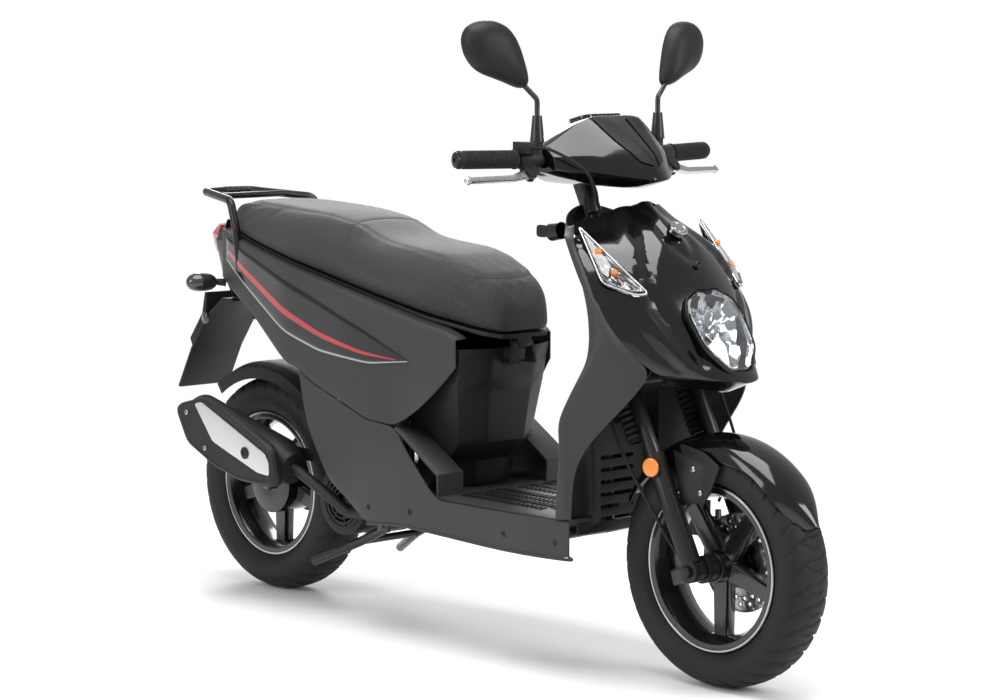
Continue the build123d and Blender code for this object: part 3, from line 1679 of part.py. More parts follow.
cover_line = [
    (front(-600), 128),
    (front(-690), 152),
    (front(-800), 166),
    (rear(400), 170),
    (rear(200), 160),
    (rear(20), 126),
    (rear(-80), 96),
    (rear(-112), 80),
]
rack_radius = 9.0
rack_foot = rail_at(rear(-6))
rack_half_route = [
    Vector(rear(-6), rack_foot.Y + rail_radius + rack_radius + fit_gap, rack_foot.Z - 8),
    Vector(rear(-12), 118, 800),
    Vector(rear(-34), 116, 862),
    Vector(rear(-196), 62, 873),
    Vector(rear(-212), 0, 873),
]
rack_route = rack_half_route + [Vector(p.X, -p.Y, p.Z) for p in rack_half_route[-2::-1]]

with BuildPart() as side_covers:
    side_wall(
        [
            (front(-600), 594),
            (front(-640), 606),
            (rear(470), seat_line(rear(470)) - 2),
            (rear(43), 764),
            (rear(-60), 786),
            (rear(-112), 796),
            (rear(-112), 690),
            (rear(60), 622),
            (rear(210), 527),
            (rear(256), 524.5),
            (rear(284), 502.5),
            (rear(489), 439.5),
            (front(-736), 434.5),
            (front(-690), 470),
            (front(-610), 560),
        ],
        strip_plan(cover_line, wall),
    )
    tube(rack_route, rack_radius + fit_gap, 24, Mode.SUBTRACT)
save(side_covers, "side_covers")

tail_levels = [
    (640.0, rear(-100), 52.0),
    (700.0, rear(-150), 78.0),
    (770.0, rear(-172), 78.0),
    (815.0, rear(-140), 66.0),
]
tail_front = rear(-112.3)


def tail_outline(back, half, inset):
    open_x = tail_front + (1 if inset else 0)
    return [
        (open_x, half - inset),
        (min(back + 26, tail_front - 4) + inset / 2, half * 0.92 - inset),
        (min(back, tail_front - 8) + inset, half * 0.5),
        (min(back, tail_front - 8) + inset, -half * 0.5),
        (min(back + 26, tail_front - 4) + inset / 2, -half * 0.92 + inset),
        (open_x, -half + inset),
    ]


with BuildPart() as tail_cover:
    skin([(z, tail_outline(x, h, 0)) for z, x, h in tail_levels])
    skin([(z, tail_outline(x, h, wall)) for z, x, h in tail_levels[:-1]]
         + [(tail_levels[-1][0] - wall, tail_outline(*tail_levels[-1][1:], wall))], Mode.SUBTRACT)
    with BuildSketch(Plane.XY.offset(739)):
        outline([(rear(-145), 90), (rear(-145), -90), (rear(-260), -90), (rear(-260), 90)])
    extrude(amount=62, mode=Mode.SUBTRACT)
    bar(-100, 100, rear(-122), 688, 7 + fit_gap, Mode.SUBTRACT)
save(tail_cover, "tail_cover")

with BuildPart() as tail_light:
    skin(
        [
            (739 + fit_gap, [(rear(-145.3), 62), (rear(-186), 40), (rear(-206), 0), (rear(-186), -40), (rear(-145.3), -62)]),
            (780, [(rear(-145.3), 66), (rear(-196), 44), (rear(-219), 0), (rear(-196), -44), (rear(-145.3), -66)]),
            (801 - fit_gap, [(rear(-145.3), 60), (rear(-178), 38), (rear(-196), 0), (rear(-178), -38), (rear(-145.3), -60)]),
        ]
    )
save(tail_light, "tail_light")

with BuildPart() as rear_rack:
    tube(rack_route, rack_radius, 24)
    bar(-90, 90, rear(-104), 867.5, 7)
save(rear_rack, "rear_rack")

with BuildPart() as rear_mudguard:
    plate(
        [
            (rear(-92), 640 - fit_gap),
            (rear(-130), 640 - fit_gap),
            (rear(-196), 590),
            (rear(-246), 520),
            (rear(-rear_overhang), 430),
            (rear(-rear_overhang) + 5, 426),
            (rear(-240), 518),
            (rear(-190), 584),
            (rear(-128), 634),
            (rear(-92), 634),
        ],
        0,
        140,
    )
    plate([(rear(-246), 520), (rear(-196), 590), (rear(-192), 648), (rear(-199), 648), (rear(-210), 600), (rear(-256), 540)], 0, 130)
save(rear_mudguard, "rear_mudguard")

with BuildPart() as rear_indicators:
    for side in (-1, 1):
        bar(min(side * 56, side * 100), max(side * 56, side * 100), rear(-122), 688, 7)
        with BuildSketch(Plane.XZ.offset(-side * 94)):
            with Locations((rear(-132), 686)):
                Ellipse(36, 20)
        with BuildSketch(Plane.XZ.offset(-side * 146)):
            with Locations((rear(-134), 684)):
                Ellipse(20, 11)
        loft()
with BuildPart() as indicators:
    add(front_indicators.part)
    add(rear_indicators.part)
save(indicators, "indicators")

bucket_half = 88.0
bucket_front_x = front(-640)
bucket_side = [
    (front(-640), 588),
    (front(-650), bucket_floor),
    (rear(330), bucket_floor),
    (rear(300), 520),
    (rear(300), seat_line(rear(300)) - 6),
]
with BuildPart() as storage_bucket:
    plate(bucket_side, 0, 2 * bucket_half)
    plate(
        [
            (front(-640) - wall, 600),
            (front(-650) - wall, bucket_floor + wall),
            (rear(330) + wall, bucket_floor + wall),
            (rear(300) + wall, 520),
            (rear(300) + wall, 800),
        ],
        0,
        2 * (bucket_half - wall),
        Mode.SUBTRACT,
    )
    plate(
        [
            (bucket_front_x - wall, 584),
            (bucket_front_x - wall, 588),
            (front(-584) - wall, 588),
            (front(-584) - wall, 584),
        ],
        0,
        100,
    )
save(storage_bucket, "storage_bucket")

tank_left = 52.0
tank_right = -(rail_at(rear(60)).Y - rail_radius - 2 * fit_gap)
tank_side = [(rear(286), 624), (rear(60), 650), (rear(60), 738), (rear(286), 688)]
with BuildPart() as fuel_tank:
    plate(tank_side, (tank_left + tank_right) / 2, tank_left - tank_right)
    with BuildSketch(Plane.XY.offset(690)):
        with Locations((rear(150), -14)):
            Circle(24)
    extrude(amount=36)
with BuildPart() as fuel_cap:
    with BuildSketch(Plane.XY.offset(726 + fit_gap)):
        with Locations((rear(150), -14)):
            Circle(28)
    extrude(amount=10)
with BuildPart() as tank_and_cap:
    add(fuel_tank.part)
    add(fuel_cap.part)
save(tank_and_cap, "fuel_tank")
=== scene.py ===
"""Moped scooter: shells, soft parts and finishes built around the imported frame.

Shapes are given in millimetres and turned into metres where a mesh is made. X ahead, Y to the
rider's left, Z up. What sits at the front is placed from the front axle, what sits at the rear
from the rear axle, and both axles are read from the tyres of the frame.
"""
from math import cos, hypot, pi, radians, sin

import bmesh
import bpy
import numpy as np
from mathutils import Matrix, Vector
from mathutils.bvhtree import BVHTree


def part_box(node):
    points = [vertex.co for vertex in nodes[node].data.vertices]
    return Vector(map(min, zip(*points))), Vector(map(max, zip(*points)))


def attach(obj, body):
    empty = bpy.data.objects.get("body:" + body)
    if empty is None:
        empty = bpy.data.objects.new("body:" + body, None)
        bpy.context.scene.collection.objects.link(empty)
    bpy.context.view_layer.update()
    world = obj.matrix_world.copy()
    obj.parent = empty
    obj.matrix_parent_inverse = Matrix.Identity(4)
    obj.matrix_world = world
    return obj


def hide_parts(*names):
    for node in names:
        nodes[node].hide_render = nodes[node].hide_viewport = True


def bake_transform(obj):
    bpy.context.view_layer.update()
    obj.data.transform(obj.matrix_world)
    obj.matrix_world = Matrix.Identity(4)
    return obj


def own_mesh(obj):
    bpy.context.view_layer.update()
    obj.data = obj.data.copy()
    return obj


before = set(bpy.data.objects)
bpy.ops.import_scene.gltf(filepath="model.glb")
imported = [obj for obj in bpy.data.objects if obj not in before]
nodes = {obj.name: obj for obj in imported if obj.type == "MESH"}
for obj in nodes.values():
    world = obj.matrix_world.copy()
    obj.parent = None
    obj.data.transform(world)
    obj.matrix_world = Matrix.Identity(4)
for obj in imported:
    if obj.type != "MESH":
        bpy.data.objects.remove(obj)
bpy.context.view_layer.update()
MM = 0.001


def middle(node):
    low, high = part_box(node)
    return (low + high) / 2 / MM


front_axle = middle("front_tyre")
rear_axle = middle("rear_tyre")
front_radius, rear_radius = front_axle.z, rear_axle.z


def front(ahead):
    return front_axle.x + ahead


def rear(ahead):
    return rear_axle.x + ahead


rake = radians(26.5)
axle_offset = 30.8
axis_up = Vector((-sin(rake), 0, cos(rake)))
axis_ahead = Vector((cos(rake), 0, sin(rake)))
steering_foot = front_axle - axis_ahead * axle_offset


def steer_point(ahead, left, up):
    return steering_foot + axis_ahead * ahead + Vector((0, left, 0)) + axis_up * up


# ---------------------------------------------------------------- camera, floor and light
def studio():
    scene = bpy.context.scene
    camera_data = bpy.data.cameras.new("studio_camera")
    camera_data.lens = 101.85
    camera = bpy.data.objects.new("studio_camera", camera_data)
    scene.collection.objects.link(camera)
    yaw, pitch = radians(137.19), radians(-6.33)
    look = Vector((cos(yaw) * cos(pitch), sin(yaw) * cos(pitch), sin(pitch)))
    camera.location = (4.2491, -3.8674, 1.2172)
    camera.rotation_euler = look.to_track_quat("-Z", "Y").to_euler()
    scene.camera = camera

    floor_mesh = bpy.data.meshes.new("studio_floor")
    reach = 60.0
    corners = [(-reach, -reach, 0), (reach, -reach, 0), (reach, reach, 0), (-reach, reach, 0)]
    floor_mesh.from_pydata(corners, [], [(0, 1, 2, 3)])
    floor = bpy.data.objects.new("studio_floor", floor_mesh)
    scene.collection.objects.link(floor)
    paper = bpy.data.materials.new("paper_floor")
    paper.use_nodes = True
    shader = paper.node_tree.nodes["Principled BSDF"]
    shader.inputs["Base Color"].default_value = (0.88, 0.88, 0.88, 1)
    shader.inputs["Roughness"].default_value = 0.7
    # far from the scooter the paper is lit evenly, so no horizon shows
    nodes_of, links_of = paper.node_tree.nodes, paper.node_tree.links
    place = nodes_of.new("ShaderNodeTexCoord")
    far = nodes_of.new("ShaderNodeVectorMath")
    far.operation = "LENGTH"
    ramp = nodes_of.new("ShaderNodeMapRange")
    ramp.inputs["From Min"].default_value, ramp.inputs["From Max"].default_value = 1.0, 3.2
    ramp.interpolation_type = "SMOOTHSTEP"
    glow = nodes_of.new("ShaderNodeEmission")
    glow.inputs["Strength"].default_value = 1.0
    either = nodes_of.new("ShaderNodeMixShader")
    links_of.new(place.outputs["Object"], far.inputs[0])
    links_of.new(far.outputs["Value"], ramp.inputs["Value"])
    links_of.new(ramp.outputs["Result"], either.inputs["Fac"])
    links_of.new(shader.outputs["BSDF"], either.inputs[1])
    links_of.new(glow.outputs["Emission"], either.inputs[2])
    links_of.new(either.outputs[0], nodes_of["Material Output"].inputs["Surface"])
    floor_mesh.materials.append(paper)

    world = bpy.data.worlds.new("studio_world")
    world.use_nodes = True
    background = world.node_tree.nodes["Background"]
    background.inputs["Color"].default_value = (1, 1, 1, 1)
    background.inputs["Strength"].default_value = 0.5
    backdrop = world.node_tree.nodes.new("ShaderNodeBackground")
    backdrop.inputs["Strength"].default_value = 1.0
    seen = world.node_tree.nodes.new("ShaderNodeLightPath")
    either = world.node_tree.nodes.new("ShaderNodeMixShader")
    links = world.node_tree.links
    links.new(seen.outputs["Is Camera Ray"], either.inputs["Fac"])
    links.new(background.outputs["Background"], either.inputs[1])
    links.new(backdrop.outputs["Background"], either.inputs[2])
    links.new(either.outputs[0], world.node_tree.nodes["World Output"].inputs["Surface"])
    backdrop.inputs["Color"].default_value = (1, 1, 1, 1)
    scene.world = world
    scene.view_settings.view_transform = "Standard"

    lamps = (
        # name, place, aim, size, power
        ("top_softbox", (0.3, -0.6, 4.2), (0.0, 0.0, 0.5), 3.2, 190),
        ("front_softbox", (4.6, 1.6, 2.6), (0.4, 0.0, 0.7), 2.2, 120),
        ("side_softbox", (-0.8, -4.8, 2.4), (-0.1, 0.0, 0.5), 2.6, 110),
        ("back_softbox", (-3.8, 3.2, 2.8), (-0.4, 0.0, 0.6), 2.4, 110),
    )
    for name, place, aim, size, power in lamps:
        light = bpy.data.lights.new(name, "AREA")
        light.shape = "SQUARE"
        light.size = size
        light.energy = power
        lamp = bpy.data.objects.new(name, light)
        lamp.location = place
        lamp.rotation_euler = (Vector(aim) - Vector(place)).to_track_quat("-Z", "Y").to_euler()
        scene.collection.objects.link(lamp)


studio()


# ---------------------------------------------------------------- shared surface effects
def effect(name, inputs, outputs):
    """An empty node group with named sockets; gives the tree, its input node and its output node."""
    tree = bpy.data.node_groups.new(name, "ShaderNodeTree")
    for label, kind, value in inputs:
        tree.interface.new_socket(label, in_out="INPUT", socket_type=kind).default_value = value
    for label, kind in outputs:
        tree.interface.new_socket(label, in_out="OUTPUT", socket_type=kind)
    return tree, tree.nodes.new("NodeGroupInput"), tree.nodes.new("NodeGroupOutput")


def maths(tree, operation, a, b=None, clamp=False):
    node = tree.nodes.new("ShaderNodeMath")
    node.operation = operation
    node.use_clamp = clamp
    for socket, value in zip(node.inputs, (a, b)):
        if isinstance(value, (int, float)):
            socket.default_value = value
        elif value is not None:
            tree.links.new(value, socket)
    return node.outputs[0]


def noise(tree, scale, detail=3.0, vector=None):
    """A noise texture over the piece's own coordinates; scale is a number or a socket."""
    node = tree.nodes.new("ShaderNodeTexNoise")
    node.inputs["Detail"].default_value = detail
    if isinstance(scale, (int, float)):
        node.inputs["Scale"].default_value = scale
    else:
        tree.links.new(scale, node.inputs["Scale"])
    if vector is None:
        vector = tree.nodes.new("ShaderNodeTexCoord").outputs["Object"]
    tree.links.new(vector, node.inputs["Vector"])
    return node.outputs["Fac"]


def make_moulded_grain():
    """Spark-eroded grain of moulded plastic: rounded pits over a fine noise."""
    tree, given, result = effect(
        "moulded_grain", [("Scale", "NodeSocketFloat", 900.0)], [("Height", "NodeSocketFloat")]
    )
    pits = tree.nodes.new("ShaderNodeTexVoronoi")
    pits.feature = "SMOOTH_F1"
    place = tree.nodes.new("ShaderNodeTexCoord").outputs["Object"]
    tree.links.new(place, pits.inputs["Vector"])
    tree.links.new(given.outputs["Scale"], pits.inputs["Scale"])
    fine = noise(tree, maths(tree, "MULTIPLY", given.outputs["Scale"], 1.7), 2.0)
    mixed = maths(tree, "ADD", maths(tree, "MULTIPLY", pits.outputs["Distance"], 0.7), fine)
    tree.links.new(mixed, result.inputs["Height"])
    return tree


def make_blotches():
    """Slow uneven patches for colour and gloss, from 0 to 1."""
    tree, given, result = effect(
        "blotches", [("Scale", "NodeSocketFloat", 7.0)], [("Mask", "NodeSocketFloat")]
    )
    slow = noise(tree, given.outputs["Scale"], 4.0)
    spread = maths(tree, "MULTIPLY", maths(tree, "SUBTRACT", slow, 0.35), 3.2, clamp=True)
    tree.links.new(spread, result.inputs["Mask"])
    return tree


def make_settled_dust():
    """Fine dust on what faces up, broken by noise."""
    tree, given, result = effect(
        "settled_dust", [("Amount", "NodeSocketFloat", 0.1)], [("Mask", "NodeSocketFloat")]
    )
    geometry = tree.nodes.new("ShaderNodeNewGeometry")
    split = tree.nodes.new("ShaderNodeSeparateXYZ")
    tree.links.new(geometry.outputs["Normal"], split.inputs[0])
    up = maths(tree, "POWER", maths(tree, "MAXIMUM", split.outputs["Z"], 0.0), 3.0)
    patchy = maths(tree, "MULTIPLY", up, noise(tree, 55.0, 5.0))
    tree.links.new(maths(tree, "MULTIPLY", patchy, given.outputs["Amount"], clamp=True),
                   result.inputs["Mask"])
    return tree


def make_brush_lines():
    """Fine parallel lines left by a brush; Stretch is small along the lines."""
    tree, given, result = effect(
        "brush_lines",
        [("Stretch", "NodeSocketVector", (20.0, 900.0, 900.0))],
        [("Height", "NodeSocketFloat")],
    )
    place = tree.nodes.new("ShaderNodeTexCoord").outputs["Object"]
    scaled = tree.nodes.new("ShaderNodeVectorMath")
    scaled.operation = "MULTIPLY"
    tree.links.new(place, scaled.inputs[0])
    tree.links.new(given.outputs["Stretch"], scaled.inputs[1])
    tree.links.new(noise(tree, 1.0, 4.0, scaled.outputs[0]), result.inputs["Height"])
    return tree


def make_edge_rub():
    """Paler rubbed corners where hands and boots pass."""
    tree, given, result = effect(
        "edge_rub", [("Reach", "NodeSocketFloat", 0.5)], [("Mask", "NodeSocketFloat")]
    )
    geometry = tree.nodes.new("ShaderNodeNewGeometry")
    sharp = maths(tree, "MULTIPLY", maths(tree, "SUBTRACT", geometry.outputs["Pointiness"], 0.53), 9.0,
                  clamp=True)
    broken = maths(tree, "MULTIPLY", sharp, noise(tree, 40.0, 6.0))
    tree.links.new(maths(tree, "MULTIPLY", broken, given.outputs["Reach"], clamp=True),
                   result.inputs["Mask"])
    return tree


moulded_grain, blotches, settled_dust = make_moulded_grain(), make_blotches(), make_settled_dust()
brush_lines, edge_rub = make_brush_lines(), make_edge_rub()


# ---------------------------------------------------------------- finishes
def use(tree, group, **values):
    node = tree.nodes.new("ShaderNodeGroup")
    node.node_tree = group
    for label, value in values.items():
        node.inputs[label].default_value = value
    return node


def blend_colours(tree, mask, low, high):
    """Colour low where the mask is 0 and high where it is 1; either may be a socket."""
    node = tree.nodes.new("ShaderNodeMix")
    node.data_type = "RGBA"
    tree.links.new(mask, node.inputs["Factor"])
    for socket, value in ((node.inputs[6], low), (node.inputs[7], high)):
        if isinstance(value, tuple):
            socket.default_value = (*value, 1)
        else:
            tree.links.new(value, socket)
    return node.outputs[2]


def finish(
    name, colour, roughness, metallic=0.0, coat=0.0, grain=0.0, grain_scale=900.0, uneven=0.2,
    dust=0.03, rub=0.0, brushed=None, height_from=None, height_depth=0.0, spread=0.06, sheen=0.0,
    shine=0.5,
):
    """A material with uneven colour and gloss, dust, rubbed edges, and a grain or brushed surface."""
    made = bpy.data.materials.new(name)
    made.use_nodes = True
    tree = made.node_tree
    shader = tree.nodes["Principled BSDF"]
    shader.inputs["Metallic"].default_value = metallic
    shader.inputs["Coat Weight"].default_value = coat
    shader.inputs["Coat Roughness"].default_value = 0.03
    shader.inputs["Sheen Weight"].default_value = sheen
    shader.inputs["Specular IOR Level"].default_value = shine
    shader.inputs["Sheen Roughness"].default_value = 0.4
    patches = use(tree, blotches, Scale=6.0).outputs["Mask"]
    paler = tuple(min(1.0, c * (1 + uneven) + 0.002) for c in colour)
    tint = blend_colours(tree, patches, colour, paler)
    if rub:
        tint = blend_colours(tree, use(tree, edge_rub, Reach=rub).outputs["Mask"], tint, (0.10, 0.10, 0.10))
    if dust:
        tint = blend_colours(tree, use(tree, settled_dust, Amount=dust).outputs["Mask"], tint,
                             (0.24, 0.23, 0.21))
    tree.links.new(tint, shader.inputs["Base Color"])
    gloss = maths(tree, "ADD", maths(tree, "MULTIPLY", patches, spread), roughness - spread / 2)
    tree.links.new(gloss, shader.inputs["Roughness"])
    normal = None
    bumps = []
    if grain:
        bumps.append((use(tree, moulded_grain, Scale=grain_scale).outputs["Height"], grain, 0.0004))
    if brushed:
        bumps.append((use(tree, brush_lines, Stretch=brushed).outputs["Height"], 0.25, 0.0002))
    if height_from:
        bumps.append((height_from(tree), 1.0, height_depth))
    for height, strength, distance in bumps:
        bump = tree.nodes.new("ShaderNodeBump")
        bump.inputs["Strength"].default_value = strength
        bump.inputs["Distance"].default_value = distance
        tree.links.new(height, bump.inputs["Height"])
        if normal:
            tree.links.new(normal, bump.inputs["Normal"])
        normal = bump.outputs["Normal"]
    if normal:
        tree.links.new(normal, shader.inputs["Normal"])
    return made


def leather_height(tree):
    """Pebbled vinyl: flattened cells with creases between them."""
    cells = tree.nodes.new("ShaderNodeTexVoronoi")
    cells.feature = "DISTANCE_TO_EDGE"
    cells.inputs["Scale"].default_value = 420.0
    tree.links.new(tree.nodes.new("ShaderNodeTexCoord").outputs["Object"], cells.inputs["Vector"])
    domes = maths(tree, "MULTIPLY", cells.outputs["Distance"], 3.0, clamp=True)
    return maths(tree, "ADD", domes, maths(tree, "MULTIPLY", noise(tree, 60.0, 4.0), 0.5))


def clear(name, colour, roughness, index=1.49, transmission=1.0):
    """A clear or tinted lens with a faint moulding waviness."""
    made = bpy.data.materials.new(name)
    made.use_nodes = True
    tree = made.node_tree
    shader = tree.nodes["Principled BSDF"]
    shader.inputs["Transmission Weight"].default_value = transmission
    shader.inputs["IOR"].default_value = index
    shader.inputs["Coat Weight"].default_value = 0.3
    patches = use(tree, blotches, Scale=9.0).outputs["Mask"]
    tree.links.new(blend_colours(tree, patches, colour, tuple(c * 0.97 for c in colour)),
                   shader.inputs["Base Color"])
    tree.links.new(maths(tree, "ADD", maths(tree, "MULTIPLY", patches, 0.02), roughness),
                   shader.inputs["Roughness"])
    bump = tree.nodes.new("ShaderNodeBump")
    bump.inputs["Strength"].default_value = 0.15
    bump.inputs["Distance"].default_value = 0.0005
    tree.links.new(noise(tree, 45.0, 1.0), bump.inputs["Height"])
    tree.links.new(bump.outputs["Normal"], shader.inputs["Normal"])
    return made


gloss_black = finish("gloss_black_paint", (0.002, 0.002, 0.0022), 0.12, coat=0.3, shine=0.4, uneven=0.3,
                     dust=0.01, spread=0.04)
satin_black = finish("satin_black_plastic", (0.006, 0.006, 0.0065), 0.34, grain=0.10, uneven=0.4, shine=0.3)
grey_plastic = finish("dark_grey_plastic", (0.026, 0.0265, 0.028), 0.5, grain=0.28, grain_scale=1100.0,
                      uneven=0.14, rub=0.15, shine=0.3)
black_plastic = finish("black_plastic", (0.007, 0.007, 0.0075), 0.5, grain=0.3, uneven=0.4, rub=0.12,
                       shine=0.25)
seat_vinyl = finish(
    "seat_vinyl", (0.021, 0.021, 0.022), 0.52, uneven=0.16, dust=0.02, height_from=leather_height,
    height_depth=0.0006,
    sheen=0.05, shine=0.35,
)
seat_panel_vinyl = finish(
    "seat_panel_vinyl", (0.034, 0.034, 0.0345), 0.55, uneven=0.14, dust=0.02, height_from=leather_height,
    height_depth=0.0006, sheen=0.05, shine=0.35,
)
rubber = finish("black_rubber", (0.008, 0.008, 0.008), 0.62, grain=0.3, grain_scale=700.0, uneven=0.5,
                dust=0.05, shine=0.25)
tyre_rubber = finish("tyre_rubber", (0.008, 0.008, 0.0085), 0.6, grain=0.35, grain_scale=500.0, uneven=0.5,
                     dust=0.04, rub=0.25, shine=0.25)
rim_paint = finish("rim_gloss_black", (0.004, 0.004, 0.0045), 0.22, coat=0.4, uneven=0.3, shine=0.4)
bright_edge = finish("machined_aluminium", (0.42, 0.42, 0.43), 0.28, metallic=1.0,
                     brushed=(900.0, 30.0, 900.0), uneven=0.1)
frame_paint = finish("frame_black_paint", (0.006, 0.006, 0.006), 0.35, coat=0.2, uneven=0.4, rub=0.2,
                     shine=0.35)
cast_alloy = finish("cast_aluminium", (0.13, 0.13, 0.133), 0.48, metallic=0.9, grain=0.5, grain_scale=420.0,
                    uneven=0.25, dust=0.06)
silver_lever = finish("polished_alloy", (0.5, 0.5, 0.51), 0.26, metallic=1.0, brushed=(400.0, 25.0, 400.0),
                      uneven=0.1)
steel = finish("bright_steel", (0.34, 0.34, 0.35), 0.3, metallic=1.0, brushed=(300.0, 300.0, 30.0),
               uneven=0.15)
disc_steel = finish("disc_steel", (0.34, 0.34, 0.35), 0.3, metallic=1.0, brushed=(700.0, 20.0, 700.0),
                    uneven=0.2)
fork_paint = finish("fork_black", (0.01, 0.01, 0.0105), 0.36, metallic=0.3, grain=0.15, uneven=0.4,
                    shine=0.35)
exhaust_black = finish("heat_black", (0.008, 0.008, 0.008), 0.5, grain=0.45, grain_scale=700.0, uneven=0.5,
                       dust=0.04, rub=0.2, shine=0.3)
brushed_insert = finish("brushed_silver", (0.56, 0.57, 0.58), 0.38, metallic=0.6,
                        brushed=(22.0, 900.0, 900.0), uneven=0.06)
spring_paint = finish("spring_red_paint", (0.2, 0.01, 0.01), 0.3, coat=0.5, uneven=0.25)
red_stripe = finish("red_stripe", (0.30, 0.008, 0.014), 0.25, coat=0.6, uneven=0.25, dust=0.0)
pale_line = finish("silver_edge_line", (0.36, 0.36, 0.37), 0.3, metallic=0.6, uneven=0.1, dust=0.0)
red_thread = finish("red_thread", (0.15, 0.012, 0.016), 0.7, uneven=0.3, dust=0.0, shine=0.2)
chrome = finish("lamp_chrome", (0.5, 0.51, 0.53), 0.10, metallic=1.0, uneven=0.1, dust=0.0, spread=0.05)
dark_chrome = finish("indicator_chrome", (0.24, 0.235, 0.225), 0.16, metallic=1.0, uneven=0.6, dust=0.0,
                     spread=0.1)
amber = finish("amber_reflector", (0.75, 0.20, 0.01), 0.25, coat=0.6, uneven=0.1, dust=0.0)
mirror_glass = finish("mirror_glass", (0.75, 0.76, 0.77), 0.03, metallic=1.0, uneven=0.02, dust=0.01,
                      spread=0.01)
clear_lens = clear("clear_lens", (0.93, 0.95, 0.97), 0.01)
red_lens = clear("red_lens", (0.42, 0.01, 0.01), 0.08, transmission=0.25)
amber_bulb = clear("amber_bulb", (1.0, 0.30, 0.03), 0.05, transmission=0.4)
smoked_lens = clear("smoked_lens", (0.05, 0.047, 0.047), 0.06, transmission=0.3)
panel_glass = clear("instrument_glass", (0.01, 0.01, 0.012), 0.04, transmission=0.2)


# ---------------------------------------------------------------- mesh helpers
def made_object(name, points, faces, material):
    mesh = bpy.data.meshes.new(name)
    mesh.from_pydata([Vector(p) * MM for p in points], [], faces)
    mesh.update()
    mesh.materials.append(material)
    piece = bpy.data.objects.new(name, mesh)
    bpy.context.scene.collection.objects.link(piece)
    return piece


def face_outwards(piece, weld=True):
    """Welds doubled points and makes all normals agree, outwards on a closed body."""
    work = bmesh.new()
    work.from_mesh(piece.data)
    if weld:
        bmesh.ops.remove_doubles(work, verts=work.verts, dist=0.00002)
    bmesh.ops.recalc_face_normals(work, faces=work.faces)
    work.to_mesh(piece.data)
    work.free()


def soften(piece, level=0, wall=0.0, bevel=0.0, angle=35.0):
    """Adds smooth subdivision, a wall grown inwards and small rounded edges, then smooth shading."""
    if level:
        smooth = piece.modifiers.new("smooth", "SUBSURF")
        smooth.levels = smooth.render_levels = level
        smooth.boundary_smooth = "PRESERVE_CORNERS"
    if wall:
        shell = piece.modifiers.new("wall", "SOLIDIFY")
        shell.thickness = wall * MM
        shell.offset = -1
    if bevel:
        edge = piece.modifiers.new("edge", "BEVEL")
        edge.width = bevel * MM
        edge.segments = 2
        edge.limit_method = "ANGLE"
        edge.angle_limit = radians(angle)
    settle(piece)
    piece.data.shade_smooth()
    piece.data.set_sharp_from_angle(angle=radians(angle))
    return piece


def settle(piece):
    """Applies the piece's modifiers to its mesh."""
    if piece.modifiers:
        graph = bpy.context.evaluated_depsgraph_get()
        settled = bpy.data.meshes.new_from_object(piece.evaluated_get(graph))
        piece.modifiers.clear()
        piece.data = settled
    return piece


def place(piece, body, *stands_for):
    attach(piece, body)
    if stands_for:
        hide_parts(*stands_for)
    return piece


def grid(rows, closed=False):
    """Points and quads between rows of equal length; closed joins each row's ends."""
    wide = len(rows[0])
    points = [p for row in rows for p in row]
    across = wide if closed else wide - 1
    faces = [
        (r * wide + c, r * wide + (c + 1) % wide, (r + 1) * wide + (c + 1) % wide, (r + 1) * wide + c)
        for r in range(len(rows) - 1)
        for c in range(across)
    ]
    return points, faces


def crease(piece, wide, rows=None, columns=None):
    """Sharpens whole rows or columns of a grid for its subdivision."""
    marks = piece.data.attributes.new("crease_edge", "FLOAT", "EDGE")
    for edge in piece.data.edges:
        a, b = edge.vertices
        if a // wide == b // wide:
            marks.data[edge.index].value = (rows or {}).get(a // wide, 0.0)
        else:
            marks.data[edge.index].value = (columns or {}).get(a % wide, 0.0)


def panel(name, rows, material, wall=3.0, level=3, rows_sharp=None, columns_sharp=None, outwards=(1, 0, 0),
          bevel=0.8):
    """A smooth moulded panel through rows of points; outwards is the way its outer face looks."""
    piece = made_object(name, *grid(rows), material)
    if rows_sharp or columns_sharp:
        crease(piece, len(rows[0]), rows_sharp, columns_sharp)
    total = sum((f.normal * f.area for f in piece.data.polygons), Vector())
    if total.dot(Vector(outwards)) < 0:
        piece.data.flip_normals()
    return soften(piece, level, wall, bevel)


def both_sides(half):
    """A row given from the centre plane to the left edge, with its mirror image."""
    return [(x, -y, z) for x, y, z in reversed(half) if abs(y) > 0.01] + list(half)


def loft(name, rings, material, level=2, caps=True, bevel=0.0, angle=35.0):
    """A closed body through rings of equal length."""
    wide = len(rings[0])
    points, faces = grid(rings, closed=True)
    if caps:
        faces.append(tuple(reversed(range(wide))))
        faces.append(tuple(range((len(rings) - 1) * wide, len(rings) * wide)))
    piece = made_object(name, points, faces, material)
    face_outwards(piece, weld=False)
    return soften(piece, level, 0, bevel, angle)


def axes_for(direction):
    """Two unit vectors square to a direction."""
    along = Vector(direction).normalized()
    helper = Vector((0, 0, 1)) if abs(along.z) < 0.9 else Vector((1, 0, 0))
    first = helper.cross(along).normalized()
    return first, along.cross(first)


def lathe(name, profile, origin, direction, material, sides=48, level=0, bevel=0.0, angle=40.0, caps=False):
    """A turned body: profile holds (distance along the axis, radius) pairs."""
    first, second = axes_for(direction)
    along = Vector(direction).normalized()
    rings = []
    for distance, radius in profile:
        centre = Vector(origin) + along * distance
        rings.append(
            [centre + (first * cos(t) + second * sin(t)) * radius for t in (2 * pi * k / sides for k in range(sides))]
        )
    return loft(name, rings, material, level, caps, bevel, angle=angle)


